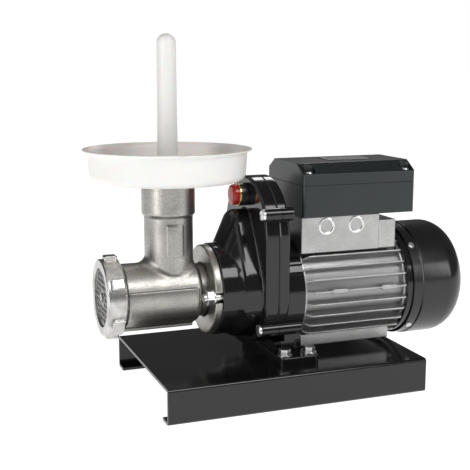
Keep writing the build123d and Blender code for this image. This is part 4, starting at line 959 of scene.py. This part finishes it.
@dataclass
class Motor:
    """Finned frame, blanking plugs and fan cover of the motor.

    Attributes:
        span: Ends of the frame.
        bore: Bore radius of the frame.
        shell: Outer radius of its wall.
        fin: Tip radius and thickness of a fin.
        fin_angles: Angles of the fins on one flank, above the horizontal.
        pad: Low corner and high corner of the terminal pad.
        step: Low corner and high corner of its lower step.
        foot: Low corner and high corner of the flat under the frame.
        bosses: Middles along X of the two ejector bosses on the middle fin.
        boss: Half length and half height of a boss.
        plugs: Places (x, z) of the blanking plugs.
        plug: Radius and how far they stand proud.
        cover: Low end, high end, band radius, neck radius and step of the fan cover.
        sheet: Thickness of its sheet.
        slots: Radii of the rings of air slots.
        spoke: Half width of the spokes between them.
        screw_x: Place along X of the cover's screws.
        screw: Radius, height and slot of a cover screw's head.
    """

    span: tuple[float, float] = (8.3, 112.1)
    bore: float = 40.0
    shell: float = 44.5
    fin: tuple[float, float] = (53.0, 1.9)
    fin_angles: tuple[float, ...] = tuple(4.5 + 12.5 * k for k in range(-5, 5))
    pad: tuple[Point, Point] = ((8.6, -38.0, 126.0), (87.6, 38.0, 159.7))
    step: tuple[Point, Point] = ((86.0, -36.5, 126.0), (105.6, 36.5, 153.0))
    foot: tuple[Point, Point] = ((8.8, -33.0, 38.3), (102.6, 33.0, 50.0))
    bosses: tuple[float, float] = (41.6, 91.6)
    boss: tuple[float, float] = (8.0, 2.3)
    plugs: tuple[tuple[float, float], ...] = ((33.6, 150.5), (63.6, 150.5))
    plug: tuple[float, float] = (8.0, 0.5)
    cover: tuple[float, float, float, float, float] = (117.8, 178.3, 55.0, 53.7, 126.6)
    sheet: float = 1.4
    slots: tuple[float, ...] = (11.0, 17.5, 24.0)
    spoke: float = 2.5
    screw_x: float = 121.6
    screw: tuple[float, float, float] = (3.0, 1.8, 0.8)

    def build(self) -> None:
        """Make the motor's pieces."""
        self.frame()
        self.blanking_plugs()
        self.fan_cover()
        self.fan_screws()

    def one_fin(self, angle: float) -> Form:
        """Make a fin with raked ends and a rounded tip, on the far flank.

        Args:
            angle: Its angle above the horizontal.

        Returns:
            The fin.
        """
        start, end = self.span
        tip, thick = self.fin
        root = self.shell - 1.5
        outline = [
            (start + 1, root), (end, root), (end, tip - 2.5), (end - 2.5, tip), (start + 8, tip),
            (start + 1, self.shell + 3.5),
        ]
        fin = Form.slab(outline, -thick / 2, thick / 2, Axis.Z).softened(0.75, 3)
        return fin.turned(angle, Axis.X).moved(0.0, 0.0, MOTOR_Z)

    def frame(self) -> None:
        """Make the die-cast frame: bored shell, end rims, fins, bosses and pads."""
        start, end = self.span
        centre = (0.0, 0.0, MOTOR_Z)
        shell = [
            (self.bore, start), (self.shell + 4.5, start, 0.5), (self.shell + 4.5, start + 2.2, 0.8),
            (self.shell, start + 3.0, 0.5), (self.shell, end - 3.2, 0.5), (self.shell + 4.0, end - 2.5, 0.8),
            (self.shell + 4.0, end, 0.5), (self.bore, end),
        ]
        body = Form.lathe(shell, Axis.X, centre, 128)
        for angle in self.fin_angles:
            body += self.one_fin(angle).paired()
        middle = self.fin_angles[len(self.fin_angles) // 2]
        long, half = self.boss
        for x in self.bosses:
            low, high = (x - long, self.shell - 1, -half), (x + long, self.fin[0] + 0.4, half)
            boss = Form.block(low, high).softened(1.5, 4)
            body += boss.turned(middle, Axis.X).moved(0.0, 0.0, MOTOR_Z).paired()
        for low, high in (self.pad, self.step, self.foot):
            body += Form.block(low, high).softened(1.3, 4)
        body.piece("motor_casting", ALUMINIUM, Body.FRAME, "motor_frame")

    def blanking_plugs(self) -> None:
        """Make the dished plugs of the unused cable entries."""
        radius, proud = self.plug
        face = self.pad[1][1]
        plugs = Form()
        neck, foot, dish = radius - 1.8, face - 1.2, face - 0.7
        outline = [(0.0, foot), (neck, foot), (neck, face - 0.1), (radius, face - 0.1), (radius, face + 0.1),
                   (radius - 1.3, face + proud, 0.8), (radius - 3.4, dish, 2.0), (0.0, dish)]
        for x, z in self.plugs:
            plugs += Form.lathe(outline, Axis.Y, (x, 0.0, z), 40, closed=False).paired()
        plugs.piece("blanking_plugs", ZINC, Body.FRAME, "pad_plugs")

    def fan_cover(self) -> None:
        """Make the pressed fan cover, with rings of air slots in its end."""
        low, high, band, neck, step = self.cover
        stations = sorted([radius + side * 1.5 for radius in self.slots for side in (-1, 1)], reverse=True)
        outline = [(neck, low), (neck, step, 0.6), (band, step + 1.0, 0.8), (band, high, 24.0)]
        outline += [(radius, high) for radius in stations] + [(0.0, high)]
        cover = Form.lathe(outline, Axis.X, (0.0, 0.0, MOTOR_Z), 120, closed=False)
        gone = []
        for face in cover.bm.faces:
            middle = face.calc_center_median()
            across, up = abs(middle.y), abs(middle.z - MOTOR_Z)
            in_slot = any(abs(hypot(across, up) - radius) < 1.4 for radius in self.slots)
            if middle.x > high - 1.0 and in_slot and min(across, up) > self.spoke:
                gone.append(face)
        bmesh.ops.delete(cover.bm, geom=gone, context="FACES")
        bmesh.ops.solidify(cover.bm, geom=cover.bm.faces[:], thickness=self.sheet)
        cover.piece("fan_cover_pressing", COVER_PAINT, Body.FRAME, "fan_cover")

    def fan_screws(self) -> None:
        """Make the round-head screws that hold the fan cover."""
        screws = Form()
        neck = self.cover[3]
        radius, height, slot = self.screw
        for angle in (45.0, 135.0, 225.0, 315.0):
            head = slotted_head(radius, height, Axis.Y, (self.screw_x, neck, 0.0), slot)
            screws += head.turned(angle, Axis.X).moved(0.0, 0.0, MOTOR_Z)
        screws.piece("cover_dome_screws", ZINC, Body.FRAME, "fan_cover_screws")


@dataclass
class TerminalBox:
    """Screws, rating plate and gland of the terminal box.

    Attributes:
        screw: Radius, height and slot of a lid screw's head.
        pocket_z: Floor of the screw pockets.
        screw_places: Places (x, y) of the lid screws on the near side.
        plate: Low corner and high corner of the rating plate.
        gland: Place (x, z), wall face, nut corner radius, dome radius, bore, end and stem radius.
    """

    screw: tuple[float, float, float] = (4.2, 2.6, 1.0)
    pocket_z: float = 197.5
    screw_places: tuple[tuple[float, float], ...] = ((16.3, 34.5), (114.3, 34.5))
    plate: tuple[Point, Point] = ((47.6, -13.0, 207.0), (91.6, 13.0, 207.5))
    gland: tuple[float, ...] = (95.6, 174.0, 41.3, 11.5, 9.0, 3.6, 57.3, 7.0)

    def build(self) -> None:
        """Make the box's pieces."""
        self.lid_screws()
        self.rating_plate()
        self.cable_gland()

    def lid_screws(self) -> None:
        """Make the four lid screws."""
        radius, height, slot = self.screw
        screws = Form()
        for (x, y), turn in zip(self.screw_places, (20.0, 65.0)):
            for side in (-1.0, 1.0):
                head = slotted_head(radius, height, Axis.Z, (0.0, 0.0, 0.0), slot)
                screws += head.turned(turn * side, Axis.Z).moved(x, side * y, self.pocket_z)
        screws.piece("lid_screw_heads", ZINC, Body.FRAME, "lid_screws")

    def rating_plate(self) -> None:
        """Make the blank rating plate."""
        low, high = self.plate
        middle = tuple((a + b) / 2 for a, b in zip(low, high))
        half = tuple((b - a) / 2 for a, b in zip(low, high))
        finish = RatingPlate("label_metal", (0.035, 0.036, 0.036), (0.86, 0.87, 0.86), (0.25, 0.4),
                             middle[:2], half[:2])
        plate = Form.block(low, high).softened(1.5, 4, where=lambda place: abs(place.z - middle[2]) < 0.05)
        plate.softened(0.12, 2).piece("rating_plate", finish, Body.FRAME, "label_plate")

    def cable_gland(self) -> None:
        """Make the gland: hexagon, domed cap and open bore."""
        x, z, wall, corner, dome, bore, end, stem = self.gland
        place = (x, 0.0, z)
        inner, flange, nut = wall - 6.0, corner - 0.4, wall + 1.2
        outline = [(bore, inner), (stem, inner), (stem, wall), (flange, wall, 0.4), (flange, nut),
                   (dome, nut), (dome, end, 4.0), (bore, end, 0.6)]
        gland = Form.lathe(outline, Axis.Y, place, 64)
        gland += Form.rod(corner, wall + 0.4, wall + 6.0, Axis.Y, place, HEXAGON).softened(0.7)
        gland.piece("gland_cap", BLACK_PLASTIC, Body.FRAME, "cable_gland")


@dataclass
class Base:
    """Bolts of the base.

    Attributes:
        bolts_x: Places along X of the bolts.
        bolts_y: Their distance from the middle.
        seat_z: Top of the foot.
        shank: Radius and low end of the shank.
        flange: Radius and thickness of the flange.
        head: Across-flats size and height of the head.
    """

    bolts_x: tuple[float, float] = (-11.9, 12.1)
    bolts_y: float = 50.0
    seat_z: float = 37.8
    shank: tuple[float, float] = (3.0, 21.8)
    flange: tuple[float, float] = (6.6, 2.0)
    head: tuple[float, float] = (9.6, 6.0)

    def build(self) -> None:
        """Make the flanged hexagon bolts."""
        bolts = Form()
        seat = self.seat_z
        radius, thick = self.flange
        flats, height = self.head
        for x in self.bolts_x:
            for y in (-self.bolts_y, self.bolts_y):
                place = (x, y, 0.0)
                washer = [(0.0, seat), (radius, seat, 0.3), (radius, seat + 0.9, 0.3),
                          (flats / 2, seat + thick), (0.0, seat + thick)]
                bolts += Form.lathe(washer, Axis.Z, place, 40, closed=False)
                corner = hexagon_corner(flats)
                bolts += Form.rod(corner, seat + 1, seat + height, Axis.Z, place, HEXAGON).softened(0.6)
                bolts += Form.rod(*self.shank, seat + 1, Axis.Z, place, 24)
        bolts.piece("foot_bolts", ZINC, Body.FRAME, "base_bolts")


CARRIED: dict[Finish, tuple[str, ...]] = {
    BASE_PAINT: ("base_plate",),
    GEARBOX_PAINT: ("gearbox_front_cover", "gearbox_rear_cover", "rear_end_shield"),
    PAPER: ("gearbox_gasket", "lid_gasket", "output_seal"),
    ZINC: ("base_nuts", "grinder_studs", "tie_rods"),
    STEEL: ("output_shaft", "output_gear", "output_bearings", "layshaft", "layshaft_wheel", "layshaft_pinion",
            "button_spring", "motor_shaft", "motor_pinion", "motor_bearings", "plate_pin"),
    BRONZE: ("layshaft_bushes",),
    LAMINATION: ("stator_core", "rotor_core"),
    COPPER: ("stator_windings",),
    BLACK_PLASTIC: ("cooling_fan", "run_capacitor"),
    BOX_PLASTIC: ("terminal_box", "terminal_box_lid"),
    CERAMIC: ("terminal_block",),
    TINNED_IRON: ("worm",),
    PLATE_STEEL: ("knife", "cutting_plate"),
}


def dress_nodes() -> None:
    """Give every CAD node that stays its finish."""
    for finish, names in CARRIED.items():
        for name in names:
            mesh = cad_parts[name].data
            mesh.materials.clear()
            mesh.materials.append(finish.material())
            LOG.info("%s: %s", name, finish.slot)


@dataclass
class Studio:
    """Floor, lamps, sky and camera.

    Attributes:
        camera: Place of the camera.
        target: Point that it looks at.
        lens: Focal length on a 36 mm sensor.
        floor_reach: Half width of the floor.
        floor_tone: Its colour, and how strongly it glows.
        room: Strength of the room's light, and of the backdrop.
    """

    camera: Point = (-0.3370, -0.7921, 0.2928)
    target: Point = (-0.0407, 0.0, 0.1406)
    lens: float = 71.9
    floor_reach: float = 30.0
    floor_tone: tuple[float, float] = (0.55, 0.93)
    room: tuple[float, float] = (0.10, 1.0)

    def build(self) -> None:
        """Set up the studio."""
        self.place_camera()
        self.lay_floor()
        self.light_sky()
        self.lamp("left_panel", (-1.40, -0.55, 0.46), (0.50, 1.00), 7.5)
        self.lamp("front_box", (0.40, -1.05, 1.24), (0.75, 0.60), 9.0)
        self.lamp("right_strip", (0.95, -1.10, 0.50), (0.16, 0.60), 2.0)
        self.lamp("back_panel", (0.55, 0.95, 0.95), (0.30, 0.30), 1.6)
        self.sun(0.3, 40.0, (-0.55, -0.45, 1.0))
        bpy.context.scene.view_settings.view_transform = "Standard"

    def place_camera(self) -> None:
        """Make the camera and point it at the machine."""
        data = bpy.data.cameras.new("camera")
        data.lens, data.sensor_width = self.lens, 36.0
        data.clip_end = CLIP_END
        aim = Vector(self.target) - Vector(self.camera)
        bpy.context.scene.camera = self.hang(data, self.camera, aim)

    def lay_floor(self) -> None:
        """Lay a plain white floor."""
        form = bmesh.new()
        bmesh.ops.create_grid(form, x_segments=1, y_segments=1, size=self.floor_reach)
        mesh = bpy.data.meshes.new("floor")
        form.to_mesh(mesh)
        form.free()
        shop = PaintShop("floor_white")
        tone, glow = self.floor_tone
        shop.feed("Base Color", (tone, tone, tone))
        shop.feed("Roughness", 0.9)
        shop.feed("Specular IOR Level", 0.1)
        shop.feed("Emission Color", (1.0, 1.0, 1.0))
        shop.feed("Emission Strength", glow)
        mesh.materials.append(shop.material)
        floor = bpy.data.objects.new("floor", mesh)
        bpy.context.scene.collection.objects.link(floor)

    def light_sky(self) -> None:
        """Light the room dimly, behind a white backdrop."""
        world = bpy.data.worlds.new("studio")
        world.use_nodes = True
        tree = world.node_tree
        tree.nodes.clear()
        path = tree.nodes.new("ShaderNodeLightPath")
        room, backdrop = (tree.nodes.new("ShaderNodeBackground") for _ in range(2))
        for light, strength in zip((room, backdrop), self.room):
            light.inputs["Color"].default_value = (1.0, 1.0, 1.0, 1.0)
            light.inputs["Strength"].default_value = strength
        mix = tree.nodes.new("ShaderNodeMixShader")
        out = tree.nodes.new("ShaderNodeOutputWorld")
        tree.links.new(path.outputs["Is Camera Ray"], mix.inputs[0])
        tree.links.new(room.outputs[0], mix.inputs[1])
        tree.links.new(backdrop.outputs[0], mix.inputs[2])
        tree.links.new(mix.outputs[0], out.inputs[0])
        bpy.context.scene.world = world

    def sun(self, power: float, spread: float, place: Point) -> None:
        """Light the whole floor evenly from a wide overhead source.

        Args:
            power: Strength on a surface that faces it.
            spread: Its width in degrees.
            place: Direction that it shines from.
        """
        data = bpy.data.lights.new("overhead", "SUN")
        data.energy, data.angle = power, radians(spread)
        self.hang(data, (0.0, 0.0, 0.0), -Vector(place))

    def lamp(self, name: str, place: Point, size: tuple[float, float], power: float) -> None:
        """Hang a softbox that faces the machine.

        Args:
            name: Name of the lamp.
            place: Its place.
            size: Width and height.
            power: Watts.
        """
        data = bpy.data.lights.new(name, "AREA")
        data.shape, data.size, data.size_y = "RECTANGLE", *size
        data.energy = power
        self.hang(data, place, Vector(self.target) - Vector(place))

    def hang(self, data: bpy.types.ID, place: Point, aim: Vector) -> bpy.types.Object:
        """Add a lamp or a camera at a place, pointed along a direction."""
        made = bpy.data.objects.new(data.name, data)
        made.location = place
        made.rotation_euler = aim.to_track_quat("-Z", "Y").to_euler()
        bpy.context.scene.collection.objects.link(made)
        return made


def main() -> None:
    """Build the machine's pieces and the studio."""
    logging.basicConfig(level=logging.INFO, format="%(message)s")
    dress_nodes()
    for part in (Base(), Gearbox(), Motor(), TerminalBox(), GrinderHead(), Hopper(), Studio()):
        LOG.info("building %s", type(part).__name__)
        part.build()


if __name__ == "__main__":
    main()
